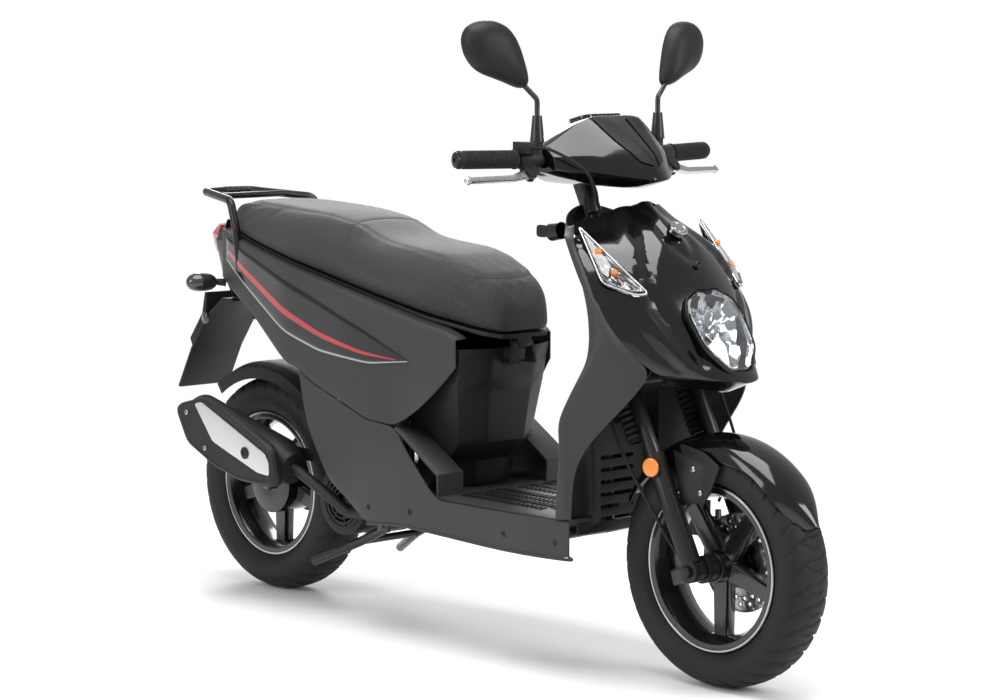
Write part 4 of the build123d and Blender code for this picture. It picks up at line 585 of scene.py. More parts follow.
def smooth_line(points, steps=8):
    """A smooth run through all the points (Catmull-Rom)."""
    points = [Vector(p) for p in points]
    padded = [2 * points[0] - points[1]] + points + [2 * points[-1] - points[-2]]
    line = []
    for a, b, c, d in zip(padded, padded[1:], padded[2:], padded[3:]):
        for k in range(steps):
            t = k / steps
            line.append(
                0.5 * ((2 * b) + (c - a) * t + (2 * a - 5 * b + 4 * c - d) * t * t + (3 * b - a - 3 * c + d) * t ** 3)
            )
    line.append(points[-1])
    return line


def tube(name, points, radius, material, sides=16, steps=8):
    """A round bar along a smooth line; radius is a number or a function of the share 0 to 1 along it."""
    line = smooth_line(points, steps) if steps else [Vector(p) for p in points]
    first, _ = axes_for(line[1] - line[0])
    rings = []
    for k, centre in enumerate(line):
        along = (line[min(k + 1, len(line) - 1)] - line[max(k - 1, 0)]).normalized()
        first = (first - along * first.dot(along)).normalized()
        second = along.cross(first)
        thick = radius(k / (len(line) - 1)) if callable(radius) else radius
        rings.append(
            [centre + (first * cos(t) + second * sin(t)) * thick for t in (2 * pi * n / sides for n in range(sides))]
        )
    return loft(name, rings, material, level=0, angle=50.0)


def slab(name, outline, origin, across, upward, thickness, material, bevel=1.0):
    """A flat plate: a 2D outline on the plane of two directions, thickened along their cross product."""
    across, upward = Vector(across).normalized(), Vector(upward).normalized()
    out = across.cross(upward).normalized()
    rings = [
        [Vector(origin) + across * x + upward * y + out * depth for x, y in outline] for depth in (0,
                thickness)
    ]
    return loft(name, rings, material, 0, True, bevel)


def bolt(name, centre, direction, radius, body, material=None, height=4.0):
    """A domed screw head with a socket."""
    head = [
        (0, radius), (height * 0.55, radius), (height * 0.85, radius * 0.8), (height, radius * 0.45),
        (height * 0.4, radius * 0.4), (height * 0.4, 0.01),
    ]
    return place(lathe(name, head, centre, direction, material or steel, 18, angle=25.0), body)


def joined(name, pieces):
    """Several meshes as one piece, with their materials."""
    work = bmesh.new()
    materials = []
    for part in pieces:
        start = len(work.faces)
        work.from_mesh(part.data)
        work.faces.ensure_lookup_table()
        for own in part.data.materials:
            if own not in materials:
                materials.append(own)
        index = materials.index(part.data.materials[0])
        for k in range(start, len(work.faces)):
            work.faces[k].material_index = index
    mesh = bpy.data.meshes.new(name)
    work.to_mesh(mesh)
    work.free()
    for own in materials:
        mesh.materials.append(own)
    for part in pieces:
        bpy.data.objects.remove(part)
    whole = bpy.data.objects.new(name, mesh)
    bpy.context.scene.collection.objects.link(whole)
    return whole


def cut(piece, cutter):
    """Takes the cutter's body out of the piece."""
    knife = piece.modifiers.new("cut", "BOOLEAN")
    knife.operation = "DIFFERENCE"
    knife.solver = "EXACT"
    knife.object = cutter
    settle(piece)
    bpy.data.objects.remove(cutter)
    return piece


# ---------------------------------------------------------------- shapes drawn against the axles
drawn_front_axle, drawn_rear_axle = 695.6, -629.4


def at_front(points):
    """Points of the front end, moved with the front axle."""
    return [(x + front_axle.x - drawn_front_axle, y, z) for x, y, z in points]


def at_rear(points):
    """Points of the rear end, moved with the rear axle."""
    return [(x + rear_axle.x - drawn_rear_axle, y, z) for x, y, z in points]


def droop(y, z):
    """The shoulders of the nose fall away sideways, and its chin rises sideways."""
    if z > 800:
        return -(44 * min(max((z - 838) / 62, 0), 1)) * min(abs(y) / 110, 1.15) ** 1.5
    return 20 * min(max((584 - z) / 8, 0), 1) * min(abs(y) / 118, 1)


def level_rows(levels):
    """Mirrored rows for a shell given as (height, [(x, y), ...] from the middle outwards)."""
    return [both_sides(at_front([(x, y, z + droop(y, z)) for x, y in half])) for z, half in levels]


def dome(name, outline, origin, across, upward, material, bulge, rings=6, lift=0.0, smooth=True, inset=1.0):
    """A shallow bowl or dome over a 2D outline; bulge is its height in the middle."""
    across, upward = Vector(across).normalized(), Vector(upward).normalized()
    out = across.cross(upward).normalized()
    cx = sum(x for x, _ in outline) / len(outline)
    cy = sum(y for _, y in outline) / len(outline)
    rows = []
    for k in range(rings + 1):
        share = (1 - k / (rings + 0.35)) * inset
        high = lift + bulge * (1 - (share / inset) ** 2)
        rough = 0 if smooth or not k else 0.09 * bulge
        rows.append(
            [Vector(origin) + across * (cx + (x - cx) * share) + upward * (cy + (y - cy) * share)
             + out * (high + rough * sin(7.3 * n + 4.1 * k))
             for n, (x, y) in enumerate(outline)]
        )
    points, faces = grid(rows, closed=True)
    wide = len(outline)
    faces.append(tuple(range(rings * wide, (rings + 1) * wide)))
    piece = made_object(name, points, faces, material)
    for face in piece.data.polygons:
        face.use_smooth = smooth
    if piece.data.polygons[-1].normal.dot(out) < 0:
        piece.data.flip_normals()
    return piece


def subdivided(outline, longest):
    """The outline with extra points so that no side is longer than given."""
    points = []
    for (ax, ay), (bx, by) in zip(outline, outline[1:] + outline[:1]):
        count = max(1, int(hypot(bx - ax, by - ay) / longest))
        points += [(ax + (bx - ax) * k / count, ay + (by - ay) * k / count) for k in range(count)]
    return points


def eased(outline, reach=7.0, steps=3):
    """The outline with its corners rounded off."""
    points = []
    for k, (x, y) in enumerate(outline):
        (px, py), (nx, ny) = outline[k - 1], outline[(k + 1) % len(outline)]
        back, on = hypot(px - x, py - y), hypot(nx - x, ny - y)
        take_back, take_on = min(reach, back * 0.45) / back, min(reach, on * 0.45) / on
        start = (x + (px - x) * take_back, y + (py - y) * take_back)
        end = (x + (nx - x) * take_on, y + (ny - y) * take_on)
        for n in range(steps + 1):
            t = n / steps
            points.append(
                tuple((1 - t) ** 2 * a + 2 * t * (1 - t) * b + t * t * c for a, b,
                      c in zip(start, (x, y), end))
            )
    return points


# ---------------------------------------------------------------- lamp planes
lamp_top, lamp_foot = (Vector(p) for p in at_front([(633.6, 0, 748), (731.6, 0, 596)]))
lamp_middle = (lamp_top + lamp_foot) / 2
lamp_up = (lamp_top - lamp_foot).normalized()
lamp_left = Vector((0, 1, 0))
lamp_half = (lamp_top - lamp_foot).length / 2
lamp_outline_right = [
    (0, lamp_half - 9), (26, lamp_half - 3), (60, lamp_half - 20), (75, 0.42 * lamp_half),
    (68, -0.42 * lamp_half),
    (30, -lamp_half),
]
lamp_outline = lamp_outline_right + [(-x, y) for x, y in reversed(lamp_outline_right) if x]
kite = {
    side: [
        Vector(p)
        for p in at_front(
            [(463.6, side * 166, 868), (553, side * 187, 762), (600, side * 144, 737),
             (616, side * 122, 741)]
        )
    ]
    for side in (1, -1)
}


def kite_plane(side):
    """Origin, across, upward and 2D outline of a front indicator, looking outwards."""
    top, outer, chin, inner = kite[side]
    centre = (top + outer + inner + chin) / 4
    across = (inner - outer).normalized() * side
    out = (outer - top).cross(inner - top).normalized()
    if out.x < 0:
        out = -out
    upward = out.cross(across)
    outline = [((p - centre).dot(across), (p - centre).dot(upward)) for p in (top, outer, chin, inner)]
    area = sum(ax * by - bx * ay for (ax, ay), (bx, by) in zip(outline, outline[1:] + outline[:1]))
    return centre, across, upward, out, outline if area > 0 else outline[::-1]


# ---------------------------------------------------------------- gloss nose shell
fascia_levels = [
    (908, [(484, 0), (478, 40), (452, 74), (425, 95), (400, 110)]),
    (880, [(528, 0), (515, 45), (480, 90), (450, 118), (424, 132)]),
    (850, [(566, 0), (552, 52), (510, 112), (480, 140), (450, 161)]),
    (820, [(597, 0), (583, 58), (545, 128), (508, 158), (478, 177)]),
    (791, [(622, 0), (608, 62), (566, 138), (535, 166), (508, 188)]),
    (748, [(648, 0), (636, 66), (602, 132), (566, 170), (535, 196)]),
    (690, [(676, 0), (660, 66), (628, 122), (600, 165), (570, 200)]),
    (640, [(708, 0), (694, 58), (662, 100), (632, 135), (602, 168)]),
    (600, [(738, 0), (726, 50), (695, 84), (662, 108), (630, 132)]),
    (578, [(756, 0), (745, 40), (712, 66), (680, 90), (640, 118)]),
    (572, [(742, 0), (732, 34), (700, 58), (672, 80), (634, 108)]),
    (556, [(700, 0), (692, 30), (668, 52), (645, 70), (618, 92)]),
]


nose_creases = [
    # depth, reach, (side, height) points
    (6.0, 17, [(26, 896), (44, 868), (70, 836), (92, 806), (104, 780), (112, 760)]),
    (-3.5, 15, [(50, 900), (72, 866), (98, 832), (116, 802), (124, 776)]),
    (5.0, 20, [(20, 880), (26, 850), (22, 822), (8, 806), (0, 803)]),
    (6.0, 18, [(118, 742), (112, 716), (98, 684), (84, 650), (70, 618)]),
    (5.0, 16, [(176, 742), (166, 706), (146, 664), (120, 626), (104, 604)]),
    (-3.0, 14, [(140, 720), (128, 690), (106, 640), (90, 606)]),
]


def gap_to(places, line):
    """Distance of every place to a line of dots, both as arrays of 2D points."""
    least = np.full(len(places), 1e9)
    for dot in line:
        least = np.minimum(least, np.hypot(*(places - dot).T))
    return least


def move_along_normals(piece, amounts, inside=None):
    """Moves every vertex along its own normal by its amount in mm; given a point inside, both walls move alike."""
    spots = np.array([v.co[:] for v in piece.data.vertices])
    normals = np.array([v.normal[:] for v in piece.data.vertices])
    if inside is not None:
        facing = np.sign(((spots - np.array(inside) * MM) * normals).sum(axis=1))
        normals = normals * facing[:, None]
    piece.data.vertices.foreach_set("co", (spots + normals * amounts[:, None] * MM).ravel())
    piece.data.update()


def press_lines(shell, lines):
    """Presses creases into a shell along lines given by side and height; a negative depth raises a ridge."""
    places = np.array([(abs(v.co.y), v.co.z) for v in shell.data.vertices]) / MM
    total = np.zeros(len(places))
    for depth, reach, line in lines:
        share = np.clip(1 - gap_to(places, dense(line, 3.0)) / reach, 0, 1)
        total -= depth * share ** 1.3
    move_along_normals(shell, total, at_front([(420, 0, 660)])[0])


def dense(line, step=4.0):
    points = []
    for (ax, ay), (bx, by) in zip(line, line[1:]):
        count = max(1, int(hypot(bx - ax, by - ay) / step))
        points += [(ax + (bx - ax) * k / count, ay + (by - ay) * k / count) for k in range(count)]
    return points + [line[-1]]


def nose_shell():
    shell = panel(
        "nose_shell", level_rows(fascia_levels), gloss_black, wall=3.0, level=3,
        rows_sharp={9: 0.8, 0: 0.5}, columns_sharp={0: 1, 8: 1, 2: 0.75, 6: 0.75}, outwards=(1, 0, 0.2),
    )
    press_lines(shell, nose_creases)
    lamp_out = lamp_left.cross(lamp_up)
    hole = slab(
        "lamp_hole", [(x * 1.01, y * 1.01) for x, y in eased(lamp_outline, 12)],
        lamp_middle - lamp_out * 45,
        lamp_left, lamp_up, 110, black_plastic, bevel=0,
    )
    cut(shell, hole)
    for side in (1, -1):
        centre, across, upward, out, outline = kite_plane(side)
        hole = slab(
            "kite_hole", eased([(x * 0.97, y * 0.97) for x, y in outline], 12), centre - out * 30, across,
            upward, 70,
            black_plastic, bevel=0,
        )
        cut(shell, hole)
    shell.data.shade_smooth()
    shell.data.set_sharp_from_angle(angle=radians(28))
    place(shell, "chassis", "front_fascia")


def lamps():
    lens_outline = subdivided(eased(lamp_outline, 12), 14)
    facets = subdivided(eased(lamp_outline, 12), 22)
    dish = dome("headlight_reflector", facets, lamp_middle, lamp_left, lamp_up, chrome, -32, 7, -3, False,
                0.97)
    place(dish, "chassis")
    bowl = [(0, 15), (9, 14), (13, 10), (15, 0.01)]
    out = lamp_left.cross(lamp_up)
    place(lathe("headlight_bulb_cap", bowl, lamp_middle - out * 26, out, chrome, 20), "chassis")
    lens = dome("headlight_glass", lens_outline, lamp_middle, lamp_left, lamp_up, clear_lens, 15, 7, 1.0)
    shell = lens.modifiers.new("wall", "SOLIDIFY")
    shell.thickness, shell.offset = 0.0025, -1
    settle(lens)
    place(lens, "chassis", "headlight_lens")
    edge = [lamp_middle + lamp_left * x * 1.0 + lamp_up * y * 1.0 + out * 1.5 for x,
            y in eased(lamp_outline, 12)]
    place(tube("headlight_seal", edge + edge[:1], 2.2, rubber, 8, 0), "chassis")
    for side, word in ((1, "left"), (-1, "right")):
        centre, across, upward, out, outline = kite_plane(side)
        round_kite = eased([(x * 0.96, y * 0.96) for x, y in outline], 12)
        dish = dome(
            f"indicator_reflector_{word}", subdivided(round_kite, 13), centre - out * 3, across, upward,
            dark_chrome, -13, 5,
            -2, False,
        )
        if side == 1:
            place(dish, "chassis", "indicators")
        else:
            place(dish, "chassis")
        lens = dome(
            f"indicator_lens_{word}", subdivided(round_kite, 9), centre, across, upward, clear_lens, 6, 5,
            1.0,
        )
        shell = lens.modifiers.new("wall", "SOLIDIFY")
        shell.thickness, shell.offset = 0.002, -1
        settle(lens)
        place(lens, "chassis")
        bright = [centre + across * x + upward * y + out * 1.6 for x, y in round_kite]
        place(tube(f"indicator_edge_{word}", bright + bright[:1], 1.8, chrome, 8, 0), "chassis")
        top, outer, _, inner = kite[side]
        for share, which in ((0.30, "upper"), (0.62, "lower")):
            spot = top.lerp((outer + inner) / 2, share + 0.14) - out * 7
            ball = [(0, 4), (6, 8), (11, 7.4), (15, 4), (16.5, 0.01)]
            place(lathe(f"indicator_bulb_{word}_{which}", ball, spot, out, amber_bulb, 16), "chassis")


# ---------------------------------------------------------------- leg shield with its side wings
shield_rows = [
    # height, middle and turn of the rider's face, side, crease, front edge
    (899, [(318, 0), (330, 62), (362, 96), (380, 108), (390, 106), (396, 100)]),
    (880, [(300, 0), (318, 50), (372, 106), (398, 135), (412, 136), (420, 130)]),
    (850, [(290, 0), (322, 56), (385, 118), (422, 157), (438, 163), (446, 158)]),
    (791, [(292, 0), (350, 58), (420, 128), (480, 189), (497, 190), (504, 184)]),
    (740, [(300, 0), (372, 60), (455, 133), (522, 200), (536, 201), (543, 194)]),
    (690, [(308, 0), (400, 62), (500, 138), (560, 200), (572, 205), (573, 197)]),
    (640, [(320, 0), (405, 70), (500, 146), (564, 212), (592, 190), (603, 165)]),
    (600, [(328, 0), (400, 74), (480, 148), (545, 215), (606, 160), (630, 130)]),
    (567, [(333, 0), (385, 84), (450, 152), (512, 217), (580, 176), (615, 149)]),
    (530, [(337, 0), (375, 90), (430, 158), (490, 220), (525, 204), (589, 167)]),
    (497, [(340, 0), (370, 100), (415, 162), (467, 220), (480, 219), (558, 179)]),
    (450, [(343, 0), (372, 98), (410, 152), (472, 216), (482, 210), (513, 190)]),
    (400, [(345, 0), (374, 100), (405, 154), (458, 209), (474, 205), (484, 192)]),
    (347, [(347, 0), (376, 110), (406, 160), (450, 205), (470, 201), (480, 191)]),
    (310, [(348, 0), (378, 115), (408, 165), (446, 202), (466, 198), (476, 190)]),
]


def leg_shield():
    rows = [
        both_sides(at_front([(x, y, z + (droop(y, z) if z > 800 else 0)) for x, y in half])) for z,
        half in shield_rows
    ]
    piece = panel(
        "leg_shield_shell", rows, grey_plastic, wall=3.0, level=2,
        columns_sharp={0: 1, 10: 1, 1: 0.85, 9: 0.85, 2: 0.8, 8: 0.8, 3: 0.2, 7: 0.2}, outwards=(-1, 0, 0),
        bevel=1.0,
    )
    place(piece, "chassis", "leg_shield")
    # the dark liner behind the wings' front edge
    for side, word in ((1, "left"), (-1, "right")):
        rows = []
        for z, half in shield_rows[7:]:
            x, y = half[-1]
            step = (min(x - 26, 548 if z > 500 else 470), y - 16)
            rows.append(
                at_front([(x - 4, side * (y - 3), z), (step[0], side * step[1], z), (462, side * 124, z),
                          (436, side * 88, z)])
            )
        liner = panel(f"shield_liner_{word}", rows, black_plastic, wall=2.0, level=2,
                      outwards=(1, -side, 0), bevel=0)
        place(liner, "chassis")
    # key lock on the rider's side
    lock = Vector(at_front([(277.6, -48, 838)])[0])
    ring = [(0, 18), (2.5, 18), (3.5, 16.5), (3.5, 9.5), (1.5, 9), (1.5, 0.01)]
    barrel = [(-26, 17), (0, 18)] + ring[1:]
    place(lathe("key_lock_barrel", barrel, lock, (-0.98, 0, -0.15), satin_black, 32), "chassis")


# ---------------------------------------------------------------- handlebar cover
headset_sections = [
    # side, outline (ahead of the bar, height)
    (0, [(184, 943), (150, 992), (36, 1066), (-54, 1044), (-84, 990), (-66, 932), (112, 927)]),
    (38, [(160, 948), (128, 996), (42, 1069), (-52, 1044), (-82, 990), (-66, 932), (104, 930)]),
    (75, [(128, 954), (104, 997), (40, 1064), (-52, 1038), (-80, 988), (-64, 934), (88, 936)]),
    (105, [(98, 962), (80, 994), (28, 1042), (-48, 1027), (-72, 987), (-58, 942), (62, 943)]),
    (132, [(66, 960), (56, 990), (14, 1020), (-38, 1014), (-56, 986), (-46, 952), (32, 952)]),
    (152.5, [(38, 965), (34, 990), (6, 1006), (-28, 1004), (-40, 986), (-32, 965), (10, 959)]),
]


def handlebar_cover():
    bar = front(-340.9)
    half = [[(bar + x, y, z) for x, z in outline] for y, outline in headset_sections]
    rings = [[(x, -y, z) for x, y, z in ring] for ring in reversed(half[1:])] + half
    shell = made_object("handlebar_cover", *closed_rings(rings), gloss_black)
    crease(shell, 7, {0: 1, len(rings) - 1: 1}, {0: 0.9, 1: 0.6, 2: 0.95, 3: 0.8, 5: 0.8, 6: 0.9})
    face_outwards(shell, weld=False)
    soften(shell, 2, 0, 0.6, angle=24)
    place(shell, "steering", "headset_cover")
    # two dark swept inserts either side of the nose
    for side, word in ((1, "left"), (-1, "right")):
        rows = [
            [(bar + x, side * y, z) for x, y, z in row]
            for row in (
                [(50, 24, 1062), (48, 42, 1062), (46, 62, 1060)],
                [(92, 20, 1034), (86, 36, 1034), (80, 54, 1032)],
                [(132, 14, 1004), (122, 28, 1004), (112, 42, 1002)],
                [(162, 8, 975), (152, 17, 976), (143, 27, 978)],
            )
        ]
        insert = made_object(f"cover_insert_{word}", *grid(rows), black_plastic)
        wrap_onto(insert, shell, 3.2)
        place(soften(insert, 0, 3.0, 0.8), "steering")


def closed_rings(rings):
    points, faces = grid(rings, closed=True)
    wide = len(rings[0])
    return points, faces + [tuple(range(wide)), tuple(range((len(rings) - 1) * wide, len(rings) * wide))]


def wrap_onto(piece, target, gap, level=3):
    """Subdivides a patch, lays it on the nearest outer surface of the target and lifts it by the gap."""
    fine = piece.modifiers.new("fine", "SUBSURF")
    fine.levels = fine.render_levels = level
    fine.boundary_smooth = "PRESERVE_CORNERS"
    settle(piece)
    graph = bpy.context.evaluated_depsgraph_get()
    surface = BVHTree.FromObject(target, graph)
    centre = sum((v.co for v in target.data.vertices), Vector()) / len(target.data.vertices)
    for vertex in piece.data.vertices:
        spot, normal, _, _ = surface.find_nearest(vertex.co)
        if normal.dot(spot - centre) < 0:
            normal = -normal
        vertex.co = spot + normal * gap * MM
    piece.data.update()
    total = sum((f.normal * f.area for f in piece.data.polygons), Vector())
    middle_point = sum((v.co for v in piece.data.vertices), Vector()) / len(piece.data.vertices)
    if total.dot(middle_point - centre) < 0:
        piece.data.flip_normals()


nose_shell()
lamps()
leg_shield()
handlebar_cover()


# ---------------------------------------------------------------- seat
seat_plan = [(149.6, 62), (115.6, 94), (-4.4, 138), (-149.4, 147), (-429.4, 147), (-569.4, 128),
             (-689.4, 95), (-733, 44)]
seat_crown = [
    (147, 668), (136, 712), (95.6, 741), (45.6, 765), (-34.4, 783), (-139.4, 791), (-215, 803),
    (-282.4, 829),
    (-360, 845), (-429.4, 850), (-560, 858), (-669.4, 859), (-722, 848), (-733, 836),
]
seat_foot = [(149.6, 628), (-586.4, 777), (-733, 807)]


def along(line, x):
    """Smoothly read height or width of a line given as (x, value) pairs, falling x."""
    xs = [p[0] for p in line][::-1]
    values = [p[1] for p in line][::-1]
    return float(np.interp(x, xs, values))


def rounded_along(line, x, reach=34.0):
    """The same, averaged over a short stretch so that its corners are soft."""
    return sum(along(line, x + reach * k / 3) * w for k, w in zip(range(-3, 4), (1, 2, 3, 4, 3, 2, 1))) / 16


def seat_cushion():
    columns = []
    stretch = [149.6, 146, 139, 128, 112, 92, 66, 36, 2, -36, -76, -116, -156, -196, -232, -262, -290, -320,
               -354,
               -394, -436, -480, -526, -572, -614, -652, -682, -704, -719, -729, -733]
    for x in stretch:
        half = along(seat_plan, x) if x > 120 or x < -700 else rounded_along(seat_plan, x, 24)
        low = along(seat_foot, x)
        high = along(seat_crown, x) if x > 120 or x < -700 else rounded_along(seat_crown, x, 20)
        crown = max(high - low, 12)
        ring = [
            (0, 0), (0.55, 0), (0.93, 0.0), (0.985, 0.10), (1.0, 0.30), (0.985, 0.52), (0.94, 0.74),
            (0.83, 0.90),
            (0.66, 0.965), (0.4, 0.99), (0, 1.0),
        ]
        left = [(x, half * y, low + crown * z) for y, z in ring]
        right = [(x, -y, z) for x, y, z in left[-2:0:-1]]
        columns.append(at_rear(left + right))
    cushion = made_object("seat_padding", *closed_rings(columns), seat_vinyl)
    face_outwards(cushion, weld=False)
    smooth = cushion.modifiers.new("smooth", "SUBSURF")
    smooth.levels = smooth.render_levels = 1
    settle(cushion)
    start = np.array([v.co[:] for v in cushion.data.vertices])
    even = cushion.modifiers.new("even", "REMESH")
    even.mode = "VOXEL"
    even.voxel_size = 0.0055
    settle(cushion)
    start = np.array([v.co[:] for v in cushion.data.vertices])
    puff(cushion)
    done = np.array([v.co[:] for v in cushion.data.vertices])
    moved = done - start
    far = np.linalg.norm(moved, axis=1)
    cap = 0.006
    moved *= np.minimum(1, cap / np.maximum(far, 1e-9))[:, None]
    low = np.array([along(seat_foot, x / MM - (rear_axle.x - drawn_rear_axle)) for x in start[:,
            0]]) * MM
    free = np.clip((start[:, 2] - low - 0.004) / 0.03, 0, 1)
    done = start + moved * free[:, None]
    cushion.data.vertices.foreach_set("co", done.ravel())
    cushion.data.update()
    relax = cushion.modifiers.new("relax", "CORRECTIVE_SMOOTH")
    relax.iterations, relax.factor, relax.use_only_smooth = 6, 0.5, True
    settle(cushion)
    seams = dent_seams(cushion)
    cushion.data.shade_smooth()
    cushion.data.materials.append(seat_panel_vinyl)
    for face in cushion.data.polygons:
        spot = face.center / MM
        x = spot.x - (rear_axle.x - drawn_rear_axle)
        if face.normal.z > 0.25 and abs(spot.y) < panel_half(x):
            face.material_index = 1
    place(cushion, "seat", "seat_cushion")
    stitches(cushion, seams)


def puff(cushion):
    """Blows the cover up a little as cloth, with its foot held."""
    scene = bpy.context.scene
    held = cushion.vertex_groups.new(name="held")
    weights = []
    for vertex in cushion.data.vertices:
        x = vertex.co.x / MM - (rear_axle.x - drawn_rear_axle)
        if vertex.co.z < along(seat_foot, x) * MM + 0.008:
            weights.append(vertex.index)
    held.add(weights, 1.0, "REPLACE")
    cloth = cushion.modifiers.new("cover", "CLOTH")
    cloth.settings.use_pressure = True
    cloth.settings.uniform_pressure_force = 4.0
    cloth.settings.vertex_group_mass = "held"
    cloth.settings.quality = 5
    cloth.settings.tension_stiffness = cloth.settings.compression_stiffness = 30
    cloth.settings.bending_stiffness = 4
    cloth.settings.effector_weights.gravity = 0.0
    cloth.point_cache.frame_start, cloth.point_cache.frame_end = 1, 20
    for step in range(1, 21):
        scene.frame_set(step)
    settle(cushion)
    scene.frame_set(1)


def panel_half(x):
    """Half width of the paler middle panel at x."""
    line = [(118, 0), (96, 52), (40, 84), (-60, 92), (-160, 84), (-262, 74), (-300, 86), (-430, 96),
            (-600, 84), (-690, 50), (-720, 0)]
    return along(line, x)


def seam_lines():
    """Seams over the cushion as (x, y) lines, left side; the cross seam runs over the step."""
    panel_edge = [(x, panel_half(x)) for x in range(104, -700, -14)]
    step = [(-262 - 30 * (1 - (y / 128) ** 2), y) for y in range(-126, 127, 9)]
    front_cross = [(66 + 34 * (1 - (y / 110) ** 2), y) for y in range(-104, 105, 8)]
    return [panel_edge, [(x, -y) for x, y in panel_edge], step, front_cross]


def dent_seams(cushion):
    """Presses the seams into the cover and gives their lines."""
    lines = seam_lines()
    places = np.array([v.co[:2] for v in cushion.data.vertices]) / MM
    upwards = np.array([v.normal.z for v in cushion.data.vertices])
    dots = [at_rear([(x, y, 0)])[0][:2] for line in lines for x, y in dense(line)]
    share = np.clip(1 - gap_to(places, dots) / 16, 0, 1)
    move_along_normals(cushion, np.where(upwards > 0.15, -2.6 * share ** 2, 0))
    return lines


def stitches(cushion, seams):
    """Red thread in short stitches along the seams."""
    surface = BVHTree.FromObject(cushion, bpy.context.evaluated_depsgraph_get())
    points, faces = [], []
    for line in seams[2:]:
        path = []
        for x, y in dense(line, 2.4):
            px, py, _ = at_rear([(x, y, 0)])[0]
            spot, normal, _, _ = surface.ray_cast(Vector((px, py, 1000)) * MM, Vector((0, 0, -1)))
            if spot:
                path.append((spot / MM + normal * 0.5, normal))
        for k in range(0, len(path) - 2, 3):
            (a, up), (b, _) = path[k], path[k + 2]
            way = (b - a).normalized()
            if (b - a).length > 14:
                continue
            side = way.cross(up)
            base = len(points)
            for end in (a, b):
                points += [end + side * 0.7, end + up * 0.7, end - side * 0.7, end - up * 0.6]
            faces += [(base + n, base + (n + 1) % 4, base + 4 + (n + 1) % 4,
                       base + 4 + n) for n in range(4)]
            faces += [(base, base + 3, base + 2, base + 1), (base + 4, base + 5, base + 6, base + 7)]
    place(made_object("seat_stitching", points, faces, red_thread), "seat")


# ---------------------------------------------------------------- body sides
skirt_halves = [(479.6, 196), (275.6, 200), (-4.4, 196), (-140.4, 186), (-189.4, 176), (-389.4, 165)]
cover_halves = [(95.6, 128), (5.6, 152), (-104.4, 166), (-229.4, 170), (-429.4, 160), (-609.4, 126),
                (-709.4, 96), (-741.4, 80)]


def body_half(x, z):
    """Half width of the body at a place along it and a height."""
    low, high = rounded_along(skirt_halves, x), rounded_along(cover_halves, x)
    share = min(max((z - 380) / 140, 0), 1)
    share = share * share * (3 - 2 * share)
    return low * (1 - share) + high * share


def side_surface(name, low, high, material, side, lift=0.0, wall=3.0, across=5, step=26.0, bevel=1.0,
                 level=1, ledge=0):
    """A side panel between two lines given as (x, z) pairs with falling x, laid on the body's side."""
    (x0, x1) = (min(low[0][0], high[0][0]), max(low[-1][0], high[-1][0]))
    count = max(4, int((x0 - x1) / step))
    rows = []
    for k in range(count + 1):
        x = x0 + (x1 - x0) * k / count
        bottom, top = along(low, x), along(high, x)
        row = []
        for n in range(across + 1):
            z = bottom + (top - bottom) * n / across
            row.append((x, side * (body_half(x, z) + lift), z))
        if ledge:
            row.append((x, side * (body_half(x, top) + lift - ledge), top + ledge * 0.12))
        rows.append(at_rear(row))
    return panel(name, rows, material, wall, level, columns_sharp={0: 1, across: 1}, outwards=(0, side, 0),
                 bevel=bevel)


skirt_low = [(476, 240), (470, 234), (300, 231), (9.6, 238), (-124.4, 227), (-268.4, 302), (-347.4, 416),
             (-373.4, 520)]
skirt_high = [(476, 305), (95.6, 303), (55.6, 345), (-40.4, 434), (-140.4, 439), (-345.4, 502),
              (-373.4, 522)]
cover_low = [(85.6, 560), (5.6, 470), (-40.4, 436), (-140.4, 441.5), (-345.4, 504.5), (-373.4, 526),
             (-419.4, 530), (-569.4, 624), (-735, 690)]
cover_high = [(92, 612), (55.6, 632), (-159.4, 681), (-586.4, 768), (-689.4, 786), (-735, 795)]
blade_low = [(-29, 566), (-140, 556), (-300, 570), (-422, 600), (-560, 668), (-700, 735)]
blade_high = [(-29, 567), (-150, 618), (-300, 668), (-450, 712), (-600, 752), (-700, 778)]
stripe_low = [(-60, 566), (-160, 571), (-300, 596), (-422, 632), (-560, 690), (-690, 745)]
stripe_high = [(-60, 568), (-160, 578), (-300, 607), (-422, 647), (-560, 705), (-690, 756)]
edge_low = [(-29, 565), (-140, 553), (-300, 566), (-422, 596), (-560, 664), (-700, 731)]
edge_high = [(-29, 567), (-140, 556.5), (-300, 570.5), (-422, 600.5), (-560, 668.5), (-700, 735.5)]


